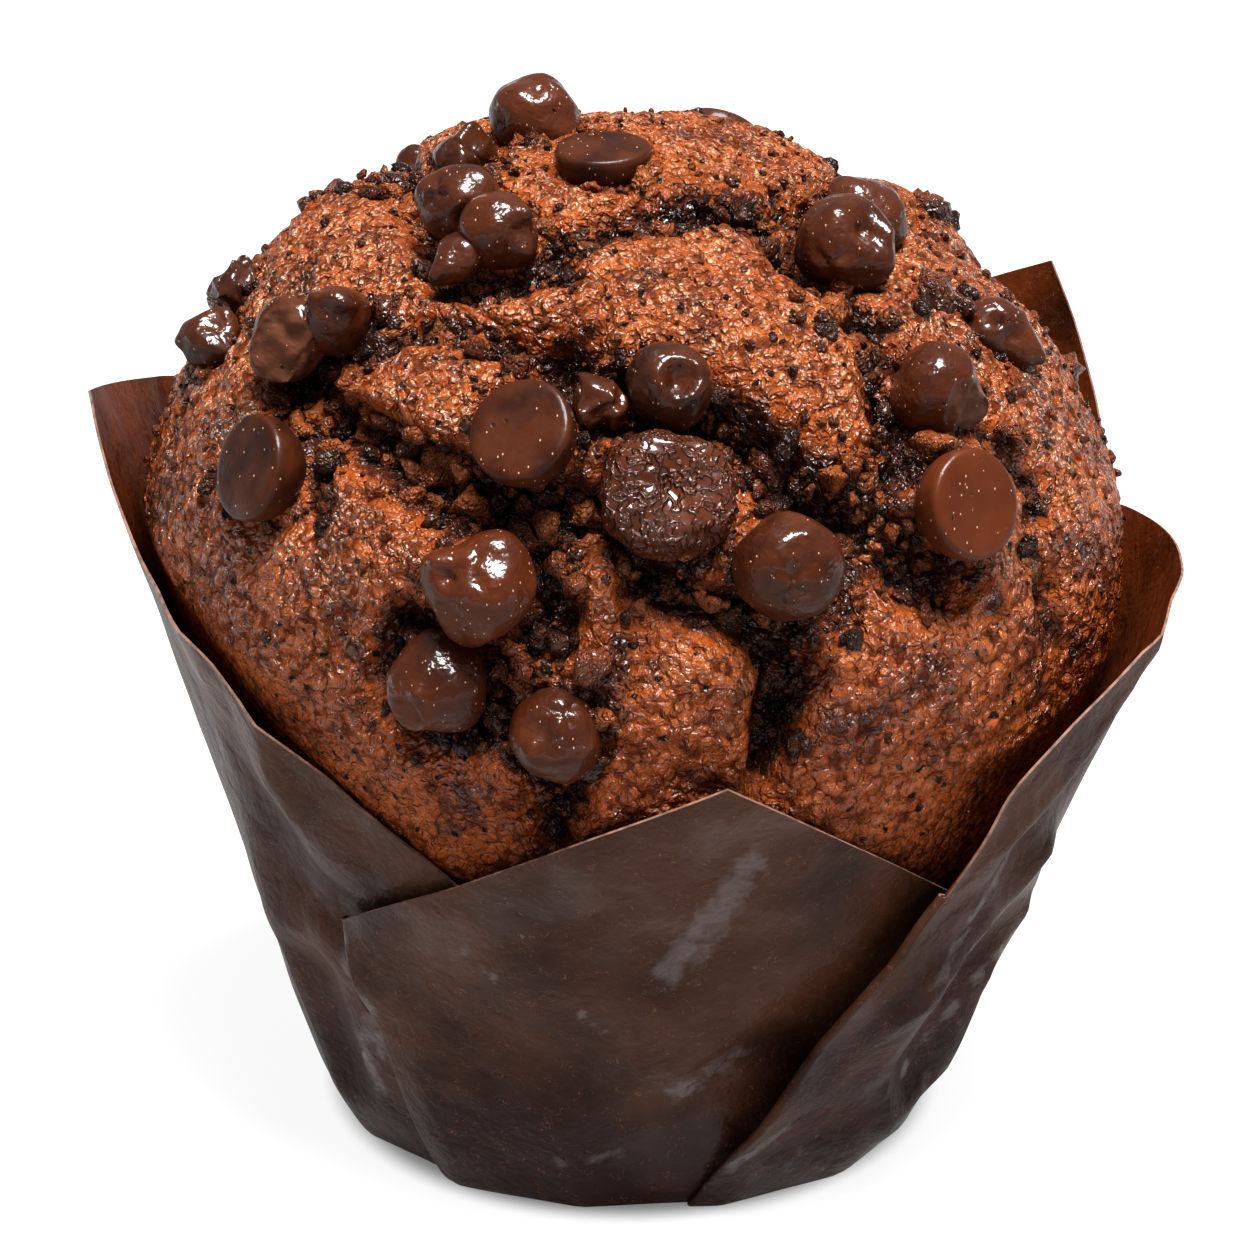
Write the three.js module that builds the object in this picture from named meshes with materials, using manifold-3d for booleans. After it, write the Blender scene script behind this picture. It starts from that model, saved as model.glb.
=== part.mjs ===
// A chocolate muffin studded with chocolate chips, in a folded tulip paper case.
// Millimetres, +Z up. The origin is the centre of the case's base, on the surface it stands on.
// A bearing is in degrees round +Z from the front (-Y), growing towards +X. A rise is in degrees
// above the level of the dome's centre, seen from that centre.
import * as THREE from 'three';
import { mergeVertices } from 'three/addons/utils/BufferGeometryUtils.js';
import Module from 'manifold-3d';

const wasm = await Module();
wasm.setup();

// Paper case: a cup of 50 mm base that opens more to the right than to the left
const BASE_RADIUS = 25;
const WALL_SLOPE = 0.39;
const WALL_LEAN = 0.038;
const WALL_PINCH = 0.05;
const FOOT_ROUND = 0.8;
const FOOT_HEIGHT = 1.2;
const PAPER_THICKNESS = 0.35;
const LAYER_STEP = 0.7;
const LAYER_STEP_AT_FOOT = 0.45;
const FOOT_SHARE = 0.3;
const PAPER_ROWS = 6;
const COLUMNS_PER_PANEL = 2;
const CURL_FROM = 38;
const CURL_FULL = 48;
const CURL_POWER = 4;
const FLARE_FROM = 0.04;
const FLARE_FULL = 0.35;
const FLARE_LOSS = 0.35;
const FLARE_SPANS = 2;
// A fold's round turn from one layer to the next: how far out its two bends lie, as shares of the
// step between layers, and how far it carries the sheet sideways, in steps
const BENDS = [0.22, 0.78];
const BEND_REACH = 0.43;
const PLEAT_SHARES = [0, 0.5, 1];
const FLOOR_RADIUS = 24.6;
const FLOOR_THICKNESS = 0.6;
const FLOOR_SIDES = 48;

// Cake: a dome of 80 mm that swells over the cup, with its crust broken into islands
const DOME_CENTRE_Z = 48;
const DOME_CENTRE_X = 0.2;
const DOME_RADIUS = 39.9;
const DOME_HEIGHT = 34.6;
const DOME_DEPTH = 41.6;
const CAKE_DETAIL = 14;
const CAKE_IN_WALL = 1.35;
const CAKE_FLOOR_Z = 1;
const NECK_RISE = -28;
const NECK_FADE = 14;
const CUP_SHARE = 0.72;
const CRUST_PUFF = 1.3;
const PUFF_REACH = 4.5;
const CRACK_SCALE = 1.2;
// Cracks and hollows are laid out this far from the dome's centre
const LAYOUT_REACH = DOME_RADIUS - 2;
const BROAD_LUMPS = 0.45;
const CLOSE_LUMPS = 0.35;

// Chips: baking chips of about 9 mm, each in a socket of the cake
const CHIP_SIDES = 10;
const FIT_GAP = 0.32;

// Vertices closer than this are one
const MERGE_DISTANCE = 1e-4;

// One panel of the case between two folds: its columns, each
// [bearing at the base, bearing at the edge, height of the edge, layers out from the innermost]
const PANELS = [
  { name: 'front', flare: 0.3, curl: 0.3, columns: [
    [-36, -42, 25.5, 2], [-28, -22, 32.5, 2], [-8, -5, 38.8, 1.3], [6, 10, 43.7, 0.5],
    [20, 23, 37.5, 0], [31, 38, 30.8, 0], [42, 47, 27, 0]] },
  { name: 'right', flare: 3.2, curl: 1.3, columns: [
    [11, 38.5, 30, 2], [21, 46, 38.8, 2], [45, 63, 46.6, 1.8], [68, 77, 48.8, 1.2],
    [90, 98, 47, 0.5], [105, 108, 46, 0], [118, 122, 43, 0]] },
  { name: 'rear_right', flare: 0.6, curl: 0.3, columns: [
    [103, 110, 45, 2], [111, 117, 48.8, 2], [127, 133, 60.5, 1.5], [145, 150, 54, 0.6],
    [160, 165, 46, 0], [172, 176, 42, 0]] },
  { name: 'rear', flare: 1.2, curl: 0.3, columns: [
    [158, 160, 40, 2], [170, 172, 48, 2], [190, 195, 57, 1.5], [208, 212, 51, 0.6],
    [226, 230, 45, 0], [240, 243, 41, 0]] },
  { name: 'left', flare: 0.6, curl: 0.3, columns: [
    [232, 226, 44, 2], [242, 238, 54, 2], [262, 269, 60.5, 1.6], [282, 284, 51.5, 1],
    [300, 301, 48.5, 0.5], [311, 315, 42.5, 0], [330, 336, 33.5, 0], [338, 344, 29, 0]] },
];

// Cracks between the islands of crust, each with its half width, its depth and its course in
// [bearing, rise]
const CRACKS = [
  { name: 'brow', half: 2.4, depth: 3.8, course: [
    [-12, 42], [-5, 39], [1, 36], [10, 35], [18, 31], [23, 26], [27, 21], [33, 16], [37, 13]] },
  { name: 'crown', half: 2.2, depth: 2.2, course: [
    [-62, 58], [-43, 52], [-32, 52], [-21, 57], [-15, 63], [3, 68], [28, 70], [44, 66], [43, 57]] },
  { name: 'right_shoulder', half: 2.0, depth: 2.4, course: [
    [43, 57], [44, 47], [46, 43], [43, 36], [40, 29], [36, 24]] },
  { name: 'left_shoulder', half: 1.7, depth: 1.6, course: [
    [-12, 42], [-23, 44], [-35, 45], [-43, 42], [-46, 38], [-48, 34]] },
  { name: 'cheek', half: 2.4, depth: 3.8, course: [
    [-58, 35], [-47, 30], [-34, 28], [-26, 25], [-18, 23], [-8, 23]] },
  { name: 'cheek_spur', half: 1.6, depth: 1.4, course: [[-47, 30], [-47, 25], [-42, 20]] },
  { name: 'heart_left', half: 2.3, depth: 3.3, course: [
    [-5, 24], [-9, 20], [-13, 18], [-11, 12], [-15, 8], [-27, 8]] },
  { name: 'chin', half: 2.0, depth: 2.4, course: [
    [-27, 8], [-28, 3], [-26, -3], [-19, -3], [-14, 1], [-12, -3], [-7, -8], [-9, -15]] },
  { name: 'heart', half: 2.1, depth: 2.4, course: [[-5, 24], [1, 17], [8, 13], [12, 12]] },
  { name: 'throat', half: 2.0, depth: 3.8, course: [[12, 12], [17, 8], [18, 3], [16, 0], [15, -8]] },
  { name: 'heart_right', half: 2.0, depth: 2.0, course: [[27, 21], [27, 15], [24, 10], [17, 8]] },
  { name: 'right_cheek', half: 1.5, depth: 1.2, course: [[56, 24], [60, 16], [55, 11], [58, 4]] },
  { name: 'rear_left_rim', half: 2.2, depth: 2.2, course: [
    [-62, 58], [-85, 60], [-115, 52], [-140, 48], [-165, 50]] },
  { name: 'rear_left', half: 2.2, depth: 2.6, course: [[-140, 48], [-150, 35], [-140, 22], [-150, 8]] },
  { name: 'left_flank', half: 1.8, depth: 1.8, course: [[-115, 52], [-108, 38], [-118, 25], [-105, 12]] },
  { name: 'rear_right_rim', half: 2.2, depth: 2.3, course: [
    [44, 66], [80, 62], [110, 55], [135, 48], [150, 40]] },
  { name: 'right_flank', half: 1.9, depth: 1.9, course: [[110, 55], [105, 40], [112, 25], [100, 12]] },
  { name: 'rear_middle', half: 2.2, depth: 2.7, course: [
    [165, 55], [150, 40], [158, 28], [175, 20], [190, 10], [185, -2]] },
  { name: 'rear_link', half: 1.8, depth: 1.7, course: [[112, 25], [130, 20], [150, 22], [158, 28]] },
];

// Places where the crust burst open or settled: [bearing, rise, reach, depth]
const HOLLOWS = [
  [18, 32, 5.5, 1.5], [25, 22, 6, 1.8], [-3, 9, 5, 1.3], [-28, 26, 4.5, 1.6], [30, 69, 5.5, 0.9],
  [-56, 55, 5, 0.8], [61, 16, 4, 0.7], [150, 30, 5, 1.3], [-145, 28, 5, 1.3],
  [178, 14, 5, 1.2], [-100, 20, 4, 0.8], [104, 22, 4, 0.8],
];

// Broad departures of the risen dome from its plain form, sunk or swollen (a negative depth)
const SLUMPS = [[78, 50, 20, 1.8], [-95, 52, 14, -1.3]];

// Chips: name, kind, bearing, rise, lift of the middle above the crust, width, height, and the
// lean of the axis off the crust's normal, with the way it leans (0 up, 90 to the right)
const CHIPS = [
  ['chip_crest', 'ball', -117, 75.5, 1.1, 7.4, 6.4, 15, 150],
  ['chip_top_flat', 'disc', -27, 81, -1.1, 7.8, 4.4, 6, 0],
  ['chip_cluster_high', 'drop', -51, 61.5, 1.2, 6.8, 7.2, 60, 250],
  ['chip_cluster_low', 'ball', -35, 60, 0.8, 6.0, 6.2, 20, 180],
  ['chip_cluster_drip', 'drop', -40.5, 54, 0.8, 3.6, 5.4, 75, 190],
  ['chip_crown_left', 'ball', -86, 67.5, 0.7, 4.6, 4.0, 0, 0],
  ['chip_pair_broken', 'ball', -58, 36, 1.2, 7.0, 6.0, 35, 250],
  ['chip_pair_drop', 'drop', -53, 41.3, 1.2, 5.6, 7.2, 50, 60],
  ['chip_left_edge', 'drop', -82, 29, 1.0, 5.0, 6.6, 70, 250],
  ['chip_left_lump', 'ball', -90, 34, 0.5, 4.4, 4.0, 0, 0],
  ['chip_left_flat', 'disc', -50.6, 21.7, 0.4, 8.6, 4.8, 6, 270],
  ['chip_mid_flat', 'disc', -14, 31.8, 0.8, 8.5, 5.0, 14, 315],
  ['chip_mid_bit', 'ball', -4.3, 37.4, -0.4, 4.2, 3.6, 0, 0],
  ['chip_dimple', 'ball', 5.6, 39.2, 0.2, 6.6, 6.4, 0, 0],
  ['chip_melted', 'puddle', 4.2, 25.8, 0.6, 10.2, 5.0, 4, 0],
  ['chip_round', 'ball', 17.8, 17, 1.2, 8.1, 7.8, 10, 0],
  ['chip_right_flat', 'disc', 41.9, 19.8, 0.3, 8.9, 5.0, 0, 0],
  ['chip_right_drop', 'drop', 48.2, 32.4, 0.8, 7.0, 8.4, 70, 140],
  ['chip_shoulder', 'ball', 57, 55.5, 1.2, 7.8, 7.0, 15, 200],
  ['chip_shoulder_flat', 'ball', 82, 57, 1.0, 7.6, 4.6, 10, 90],
  ['chip_right_edge', 'drop', 74.5, 34.3, 0.6, 5.5, 7.2, 60, 170],
  ['chip_heart_drop', 'drop', -17.5, 15.5, 1.4, 8.8, 9.0, 65, 290],
  ['chip_chin_drop', 'drop', -22, 3.5, 0.8, 7.9, 8.6, 35, 215],
  ['chip_chin_sunk', 'ball', -8.5, -1.5, -0.3, 7.0, 6.2, 10, 0],
  ['chip_rear_a', 'drop', -150, 32, 1.0, 8.2, 8.6, 50, 40],
  ['chip_rear_b', 'disc', -132, 19, 0.6, 9.0, 4.8, 5, 90],
  ['chip_rear_c', 'ball', -174, 27, 1.0, 8.4, 8.0, 0, 0],
  ['chip_rear_d', 'disc', 154, 11, 0.6, 9.1, 4.8, 6, 0],
  ['chip_rear_e', 'puddle', 147, 24, 0.5, 10.2, 4.8, 5, 0],
  ['chip_rear_f', 'drop', -161, 7, 1.0, 8.4, 9.0, 60, 120],
  ['chip_rear_g', 'disc', 166, 41, 0.4, 8.6, 4.6, 8, 180],
  ['chip_rear_h', 'drop', 131, 12, 0.8, 7.4, 8.0, 55, 230],
];

const rad = THREE.MathUtils.degToRad;
const mix = THREE.MathUtils.lerp;
const smoothstep = (low, high, value) => THREE.MathUtils.smoothstep(value, low, high);

// The paper's middle layer, as a radius about the axis
function wallRadius(bearing, z) {
  const side = Math.sin(rad(bearing));
  const slope = WALL_SLOPE + WALL_LEAN * side - WALL_PINCH * side ** 2;
  return BASE_RADIUS + slope * z - FOOT_ROUND * Math.exp(-z / FOOT_HEIGHT);
}

// A point at a bearing, a radius about the axis and a height
function around(bearing, radius, z) {
  return new THREE.Vector3(radius * Math.sin(rad(bearing)), -radius * Math.cos(rad(bearing)), z);
}

// The unit vector from the dome's centre
function heading(bearing, rise) {
  return around(bearing, Math.cos(rad(rise)), Math.sin(rad(rise)));
}

const domeMiddle = new THREE.Vector3(DOME_CENTRE_X, 0, DOME_CENTRE_Z);
const layoutPoint = (bearing, rise) => heading(bearing, rise).multiplyScalar(LAYOUT_REACH);
const crackLines = CRACKS.map((crack) => crack.course.map(([bearing, rise]) => layoutPoint(bearing, rise)));

// The shortest way from a point to a crack's course
function distanceToCourse(point, line) {
  const nearest = new THREE.Vector3();
  const piece = new THREE.Line3();
  let best = Infinity;
  for (let i = 1; i < line.length; i += 1) {
    piece.set(line[i - 1], line[i]).closestPointToPoint(point, true, nearest);
    best = Math.min(best, nearest.distanceTo(point));
  }
  return best;
}

// The summed depth, at a point, of round dents that fade over their reach
function dents(point, list) {
  return list.reduce((sum, [bearing, rise, reach, depth]) => {
    const away = point.distanceTo(layoutPoint(bearing, rise));
    return sum + depth * Math.exp(-((away / reach) ** 2));
  }, 0);
}

// The risen form between the cracks, as a length over the plain dome
function risen(direction) {
  return lumps(direction) - dents(direction.clone().multiplyScalar(LAYOUT_REACH), SLUMPS);
}

// How far the crust stands out from the plain dome in a direction
function relief(direction) {
  const point = direction.clone().multiplyScalar(LAYOUT_REACH);
  let nearest = Infinity;
  let cut = 0;
  CRACKS.forEach((crack, i) => {
    const away = distanceToCourse(point, crackLines[i]);
    nearest = Math.min(nearest, away);
    cut = Math.max(cut, crack.depth * Math.exp(-((away / (crack.half * CRACK_SCALE)) ** 2)));
  });
  const puff = CRUST_PUFF * Math.exp(-nearest / PUFF_REACH);
  return risen(direction) - puff - cut - dents(point, HOLLOWS);
}

// Broad unevenness of the risen crust: two crossed waves of a direction's parts, so that it comes
// out the same each time
function lumps({ x, y, z }) {
  const broad = Math.sin(5.1 * x + 1.3) * Math.sin(4.3 * y + 0.4 + 2 * z);
  const close = Math.sin(11 * x - 3 * z + 2.1) * Math.sin(10 * y + 4 * z + 0.7);
  return BROAD_LUMPS * broad + CLOSE_LUMPS * close;
}

// The plain dome's surface in a direction, as a length from its centre
function domeReach(direction) {
  const height = direction.z > 0 ? DOME_HEIGHT : DOME_DEPTH;
  const flat = Math.hypot(direction.x, direction.y) / DOME_RADIUS;
  return 1 / Math.hypot(flat, direction.z / height);
}

// A point of the crust, kept inside the paper
function crustPoint(direction) {
  const rise = THREE.MathUtils.radToDeg(Math.asin(direction.z));
  const fade = smoothstep(NECK_RISE, NECK_RISE + NECK_FADE, rise);
  const point = direction.clone().multiplyScalar(domeReach(direction) + relief(direction) * fade);
  point.add(domeMiddle);
  const bearing = THREE.MathUtils.radToDeg(Math.atan2(point.x, -point.y));
  const room = wallRadius(bearing, point.z) - CAKE_IN_WALL;
  const away = Math.hypot(point.x, point.y);
  const pull = away > room ? room / away : 1;
  return new THREE.Vector3(point.x * pull, point.y * pull, point.z);
}

// A point of the cake for a direction: crust above the neck, then down the cup and in to the axis
function cakePoint(direction) {
  const rise = THREE.MathUtils.radToDeg(Math.asin(THREE.MathUtils.clamp(direction.z, -1, 1)));
  if (rise >= NECK_RISE) return crustPoint(direction);
  const bearing = THREE.MathUtils.radToDeg(Math.atan2(direction.x, -direction.y));
  const neck = crustPoint(heading(bearing, NECK_RISE));
  const way = (NECK_RISE - rise) / (90 + NECK_RISE);
  const down = Math.min(1, way / CUP_SHARE);
  const inward = Math.max(0, (way - CUP_SHARE) / (1 - CUP_SHARE));
  const z = mix(neck.z, CAKE_FLOOR_Z, down);
  const widened = mix(Math.hypot(neck.x, neck.y), DOME_RADIUS, down);
  const cupRadius = Math.min(wallRadius(bearing, z) - CAKE_IN_WALL, widened);
  return around(bearing, cupRadius * (1 - inward), z);
}

// A closed solid from a geometry whose faces point out
function toSolid(geometry) {
  geometry.deleteAttribute('normal');
  geometry.deleteAttribute('uv');
  const merged = mergeVertices(geometry, MERGE_DISTANCE);
  const corners = merged.index.array;
  const kept = [];
  for (let i = 0; i < corners.length; i += 3) {
    const [a, b, c] = [corners[i], corners[i + 1], corners[i + 2]];
    if (a !== b && b !== c && c !== a) kept.push(a, b, c);
  }
  const vertProperties = new Float32Array(merged.attributes.position.array);
  const triVerts = new Uint32Array(kept);
  return new wasm.Manifold(new wasm.Mesh({ numProp: 3, vertProperties, triVerts }));
}

// The geometry of a solid
function toGeometry(solid) {
  const { vertProperties, triVerts } = solid.getMesh();
  const geometry = new THREE.BufferGeometry();
  geometry.setAttribute('position', new THREE.BufferAttribute(vertProperties, 3));
  geometry.setIndex(new THREE.BufferAttribute(triVerts, 1));
  geometry.computeVertexNormals();
  return geometry;
}

// A geometry with every vertex moved by a function
function reshaped(geometry, move) {
  const place = geometry.attributes.position;
  const vertex = new THREE.Vector3();
  for (let i = 0; i < place.count; i += 1) {
    vertex.fromBufferAttribute(place, i);
    const moved = move(vertex.clone());
    place.setXYZ(i, moved.x, moved.y, moved.z);
  }
  return geometry;
}

// The bare cake, before the chips' sockets
function cakeSolid() {
  const ball = new THREE.IcosahedronGeometry(1, CAKE_DETAIL);
  return toSolid(reshaped(ball, (vertex) => cakePoint(vertex.normalize())));
}

// A chip's outline as [share of the half width, share of the half height], from its foot up its
// side to its tip, about its own axis
const CHIP_OUTLINES = {
  disc: [[0, -1], [0.58, -0.82], [0.95, 0], [1, 0.72], [0.93, 1], [0, 1]],
  ball: [[0, -1], [0.62, -0.8], [0.98, -0.2], [0.94, 0.36], [0.6, 0.84], [0, 1]],
  drop: [[0, -0.86], [0.62, -0.76], [1, -0.25], [0.88, 0.18], [0.42, 0.7], [0.16, 0.96], [0, 1]],
  puddle: [[0, -1], [0.5, -0.85], [0.94, -0.2], [0.98, 0.35], [0.55, 0.9], [0, 0.82]],
};

// A chip's solid about the origin, its axis along +Z, grown by a margin
function chipForm(kind, width, height, margin) {
  const across = width / 2 + margin;
  const up = height / 2 + margin;
  const outline = CHIP_OUTLINES[kind].map(([r, h]) => new THREE.Vector2(r * across, h * up));
  return new THREE.LatheGeometry(outline, CHIP_SIDES).rotateX(Math.PI / 2);
}

// Where a chip stands: its middle over the crust and its axis leaning off the crust's normal
function chipPlace(bearing, rise, lift, lean, leanWay) {
  const out = heading(bearing, rise);
  const right = around(bearing + 90, 1, 0);
  const up = new THREE.Vector3().crossVectors(out, right);
  const sideways = up.multiplyScalar(Math.cos(rad(leanWay))).addScaledVector(right, Math.sin(rad(leanWay)));
  const axis = out.clone().multiplyScalar(Math.cos(rad(lean))).addScaledVector(sideways, Math.sin(rad(lean)));
  const turn = new THREE.Quaternion().setFromUnitVectors(new THREE.Vector3(0, 0, 1), axis);
  const level = domeReach(out) + risen(out) - CRUST_PUFF / 2;
  const middle = out.multiplyScalar(level + lift).add(domeMiddle);
  return new THREE.Matrix4().compose(middle, turn, new THREE.Vector3(1, 1, 1));
}

// A chip's solid in place
function chipSolid([, kind, bearing, rise, lift, width, height, lean, leanWay], margin) {
  const place = chipPlace(bearing, rise, lift, lean, leanWay);
  return toSolid(chipForm(kind, width, height, margin).applyMatrix4(place));
}

// The flare of a panel's folded edge: none at the foot, most at mid height
function flareAt(share) {
  return smoothstep(FLARE_FROM, FLARE_FULL, share) * (1 - FLARE_LOSS * share);
}

// One column of the folded sheet: where it starts, where it ends, its layer, its flare, the curl
// of its tip and how far a fold's round turn carries it sideways
function column(foot, edge, height, layer, flare = 0, curl = 0, turn = 0) {
  return { foot, edge, height, layer, flare, curl, turn };
}

// The columns from one list entry to the next, the first included
function panelColumns(panel) {
  const columns = [];
  panel.columns.forEach((key, i) => {
    const next = panel.columns[i + 1];
    const steps = next ? COLUMNS_PER_PANEL : 1;
    for (let step = 0; step < steps; step += 1) {
      const share = step / steps;
      const values = next ? key.map((value, k) => mix(value, next[k], share)) : key;
      const [foot, edge, height, layer] = values;
      const flare = panel.flare * Math.max(0, 1 - (i + share) / FLARE_SPANS);
      const curl = panel.curl * smoothstep(CURL_FROM, CURL_FULL, height);
      columns.push(column(foot, edge, height, layer, flare, curl));
    }
  });
  return columns;
}

// The hidden part of a pleat: back from a panel's last column to the next panel's folded edge
function pleatColumns(last, first, flare, lap) {
  const [start, end] = [last, [first[0] + lap, first[1] + lap, first[2], first[3]]];
  const at = (share) => [0, 1, 2].map((k) => mix(start[k], end[k], share));
  return [
    ...BENDS.map((bend) => column(...at(0), bend, 0, 0, 1)),
    ...PLEAT_SHARES.map((share) => column(...at(share), 1, flare * share)),
    ...BENDS.map((bend) => column(...at(1), 1 + bend, flare, 0, -1)),
  ];
}

// All columns of the sheet, once round the cup
function sheetColumns() {
  const columns = [];
  PANELS.forEach((panel, i) => {
    const next = PANELS[(i + 1) % PANELS.length];
    const lap = i + 1 === PANELS.length ? 360 : 0;
    columns.push(...panelColumns(panel));
    columns.push(...pleatColumns(panel.columns.at(-1), next.columns[0], next.flare, lap));
  });
  return columns;
}

// A point of the sheet's middle, a share of the way up a column
function sheetPoint({ foot, edge, height, layer, flare, curl, turn }, share) {
  const z = height * share;
  const step = mix(LAYER_STEP_AT_FOOT, LAYER_STEP, smoothstep(0, FOOT_SHARE, share));
  const bearing = mix(foot, edge, share);
  const out = step * (layer - 1 + flare * flareAt(share)) + curl * share ** CURL_POWER;
  const radius = wallRadius(bearing, z) + out;
  const sideways = THREE.MathUtils.radToDeg((turn * step * BEND_REACH) / radius);
  return around(bearing + sideways, radius, z);
}

// A vertex of one face of the sheet, half the paper's thickness off its middle
function facePoint(middle, i, j, side) {
  const count = middle.length;
  const [before, after] = [middle[(i + count - 1) % count], middle[(i + 1) % count]];
  const [below, above] = [middle[i][Math.max(j - 1, 0)], middle[i][Math.min(j + 1, PAPER_ROWS)]];
  const normal = after[j].clone().sub(before[j]).cross(above.clone().sub(below)).normalize();
  const point = middle[i][j].clone().addScaledVector(normal, (side * PAPER_THICKNESS) / 2);
  if (j === 0) point.z = 0;
  return point;
}

// The folded sheet as a thin solid, both faces split alike
function sheetSolid() {
  const shares = Array.from({ length: PAPER_ROWS + 1 }, (_, j) => j / PAPER_ROWS);
  const middle = sheetColumns().map((one) => shares.map((share) => sheetPoint(one, share)));
  const count = middle.length;
  const positions = [];
  [1, -1].forEach((side) => middle.forEach((line, i) => line.forEach((_, j) => {
    positions.push(...facePoint(middle, i, j, side).toArray());
  })));
  const at = (side, i, j) => (side * count + (i % count)) * shares.length + j;
  const faces = [];
  const quad = (a, b, c, d) => faces.push(a, b, c, a, c, d);
  for (let i = 0; i < count; i += 1) {
    for (let j = 0; j < PAPER_ROWS; j += 1) {
      quad(at(0, i, j), at(0, i + 1, j), at(0, i + 1, j + 1), at(0, i, j + 1));
      quad(at(1, i + 1, j), at(1, i, j), at(1, i, j + 1), at(1, i + 1, j + 1));
    }
    quad(at(0, i, PAPER_ROWS), at(0, i + 1, PAPER_ROWS), at(1, i + 1, PAPER_ROWS), at(1, i, PAPER_ROWS));
    quad(at(0, i + 1, 0), at(0, i, 0), at(1, i, 0), at(1, i + 1, 0));
  }
  const geometry = new THREE.BufferGeometry();
  geometry.setAttribute('position', new THREE.Float32BufferAttribute(positions, 3));
  geometry.setIndex(faces);
  return toSolid(geometry);
}

// The case: the folded sheet joined to its round floor
function caseSolid() {
  const floor = new THREE.CylinderGeometry(FLOOR_RADIUS, FLOOR_RADIUS, FLOOR_THICKNESS, FLOOR_SIDES)
    .rotateX(Math.PI / 2).translate(0, 0, FLOOR_THICKNESS / 2);
  return sheetSolid().add(toSolid(floor));
}

const CRUST = new THREE.MeshStandardMaterial({ color: '#8a4c30', roughness: 0.75, metalness: 0 });
const PAPER = new THREE.MeshStandardMaterial({ color: '#48322b', roughness: 0.55, metalness: 0 });
const CHOCOLATE = new THREE.MeshStandardMaterial({ color: '#5e2e1e', roughness: 0.3, metalness: 0 });

// A named mesh of a solid
function piece(name, solid, material) {
  const mesh = new THREE.Mesh(toGeometry(solid), material);
  mesh.name = name;
  return mesh;
}

// The chips, each cut clear of those before it, and the cake cut clear of them all
function studdedCake() {
  const meshes = [];
  let cake = cakeSolid();
  const cutters = [];
  CHIPS.forEach((chip) => {
    let solid = chipSolid(chip, 0);
    cutters.forEach((cutter) => { solid = solid.subtract(cutter); });
    const cutter = chipSolid(chip, FIT_GAP);
    cake = cake.subtract(cutter);
    cutters.push(cutter);
    meshes.push(piece(chip[0], solid, CHOCOLATE));
  });
  meshes.unshift(piece('cake', cake, CRUST));
  return meshes;
}

const group = new THREE.Group();
group.add(piece('case', caseSolid(), PAPER), ...studdedCake());

export default group;
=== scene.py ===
"""A chocolate muffin studded with chocolate chips, in a folded tulip paper case.

Shapes are worked out in millimetres and written to the meshes in metres. A bearing is in degrees
round +Z from the front (-Y), growing towards +X. A rise is in degrees above the level of the
dome's centre, seen from that centre.
"""

import logging
import math
from dataclasses import dataclass, field
from enum import Enum

import bpy
import numpy as np
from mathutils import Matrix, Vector


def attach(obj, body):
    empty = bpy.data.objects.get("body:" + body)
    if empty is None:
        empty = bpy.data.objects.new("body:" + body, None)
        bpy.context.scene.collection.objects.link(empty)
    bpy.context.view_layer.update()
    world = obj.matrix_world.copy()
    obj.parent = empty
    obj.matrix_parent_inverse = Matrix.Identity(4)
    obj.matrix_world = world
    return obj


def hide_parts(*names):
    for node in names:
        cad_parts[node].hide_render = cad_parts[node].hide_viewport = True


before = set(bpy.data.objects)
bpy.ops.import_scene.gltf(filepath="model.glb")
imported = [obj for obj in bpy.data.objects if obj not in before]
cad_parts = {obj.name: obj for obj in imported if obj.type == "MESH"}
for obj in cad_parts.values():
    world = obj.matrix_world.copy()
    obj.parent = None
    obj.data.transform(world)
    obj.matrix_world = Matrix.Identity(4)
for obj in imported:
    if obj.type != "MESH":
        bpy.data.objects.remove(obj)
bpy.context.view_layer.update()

LOG = logging.getLogger("muffin")
BODY = "root"
MM = 0.001
Points = np.ndarray


# Numbers and noise


def smoothstep(low: float, high: float, value: Points) -> Points:
    """Ease from 0 at low to 1 at high."""
    share = np.clip((value - low) / (high - low), 0, 1)
    return share * share * (3 - 2 * share)


def around(bearing: Points, radius: Points, z: Points) -> Points:
    """Points at bearings, radii about the axis and heights."""
    turn = np.radians(bearing)
    return np.stack(np.broadcast_arrays(radius * np.sin(turn), -radius * np.cos(turn), z), axis=-1)


def heading(bearing: Points, rise: Points) -> Points:
    """Unit vectors from the dome's centre."""
    return around(bearing, np.cos(np.radians(rise)), np.sin(np.radians(rise)))


def bearing_of(points: Points) -> Points:
    """The bearing of each point, in degrees."""
    return np.degrees(np.arctan2(points[..., 0], -points[..., 1]))


def unit(vectors: Points) -> Points:
    """Vectors brought to length 1."""
    return vectors / np.maximum(np.linalg.norm(vectors, axis=-1, keepdims=True), 1e-9)


def hashed(cells: Points, seed: int) -> Points:
    """Even random numbers from 0 to 1, one for each whole-number cell.

    Args:
        cells: whole-number cells, (..., 3).
        seed: the draw.

    Returns:
        One number for each cell.
    """
    x, y, z = (cells[..., i].astype(np.int64).astype(np.uint32) for i in range(3))
    mixed = x * np.uint32(374761393) + y * np.uint32(668265263) + z * np.uint32(2246822519)
    mixed = mixed + np.uint32((seed * 3266489917 + 374761) % 2**32)
    mixed = (mixed ^ (mixed >> np.uint32(13))) * np.uint32(1274126177)
    mixed = mixed ^ (mixed >> np.uint32(16))
    return mixed.astype(np.float64) / 2**32


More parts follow.
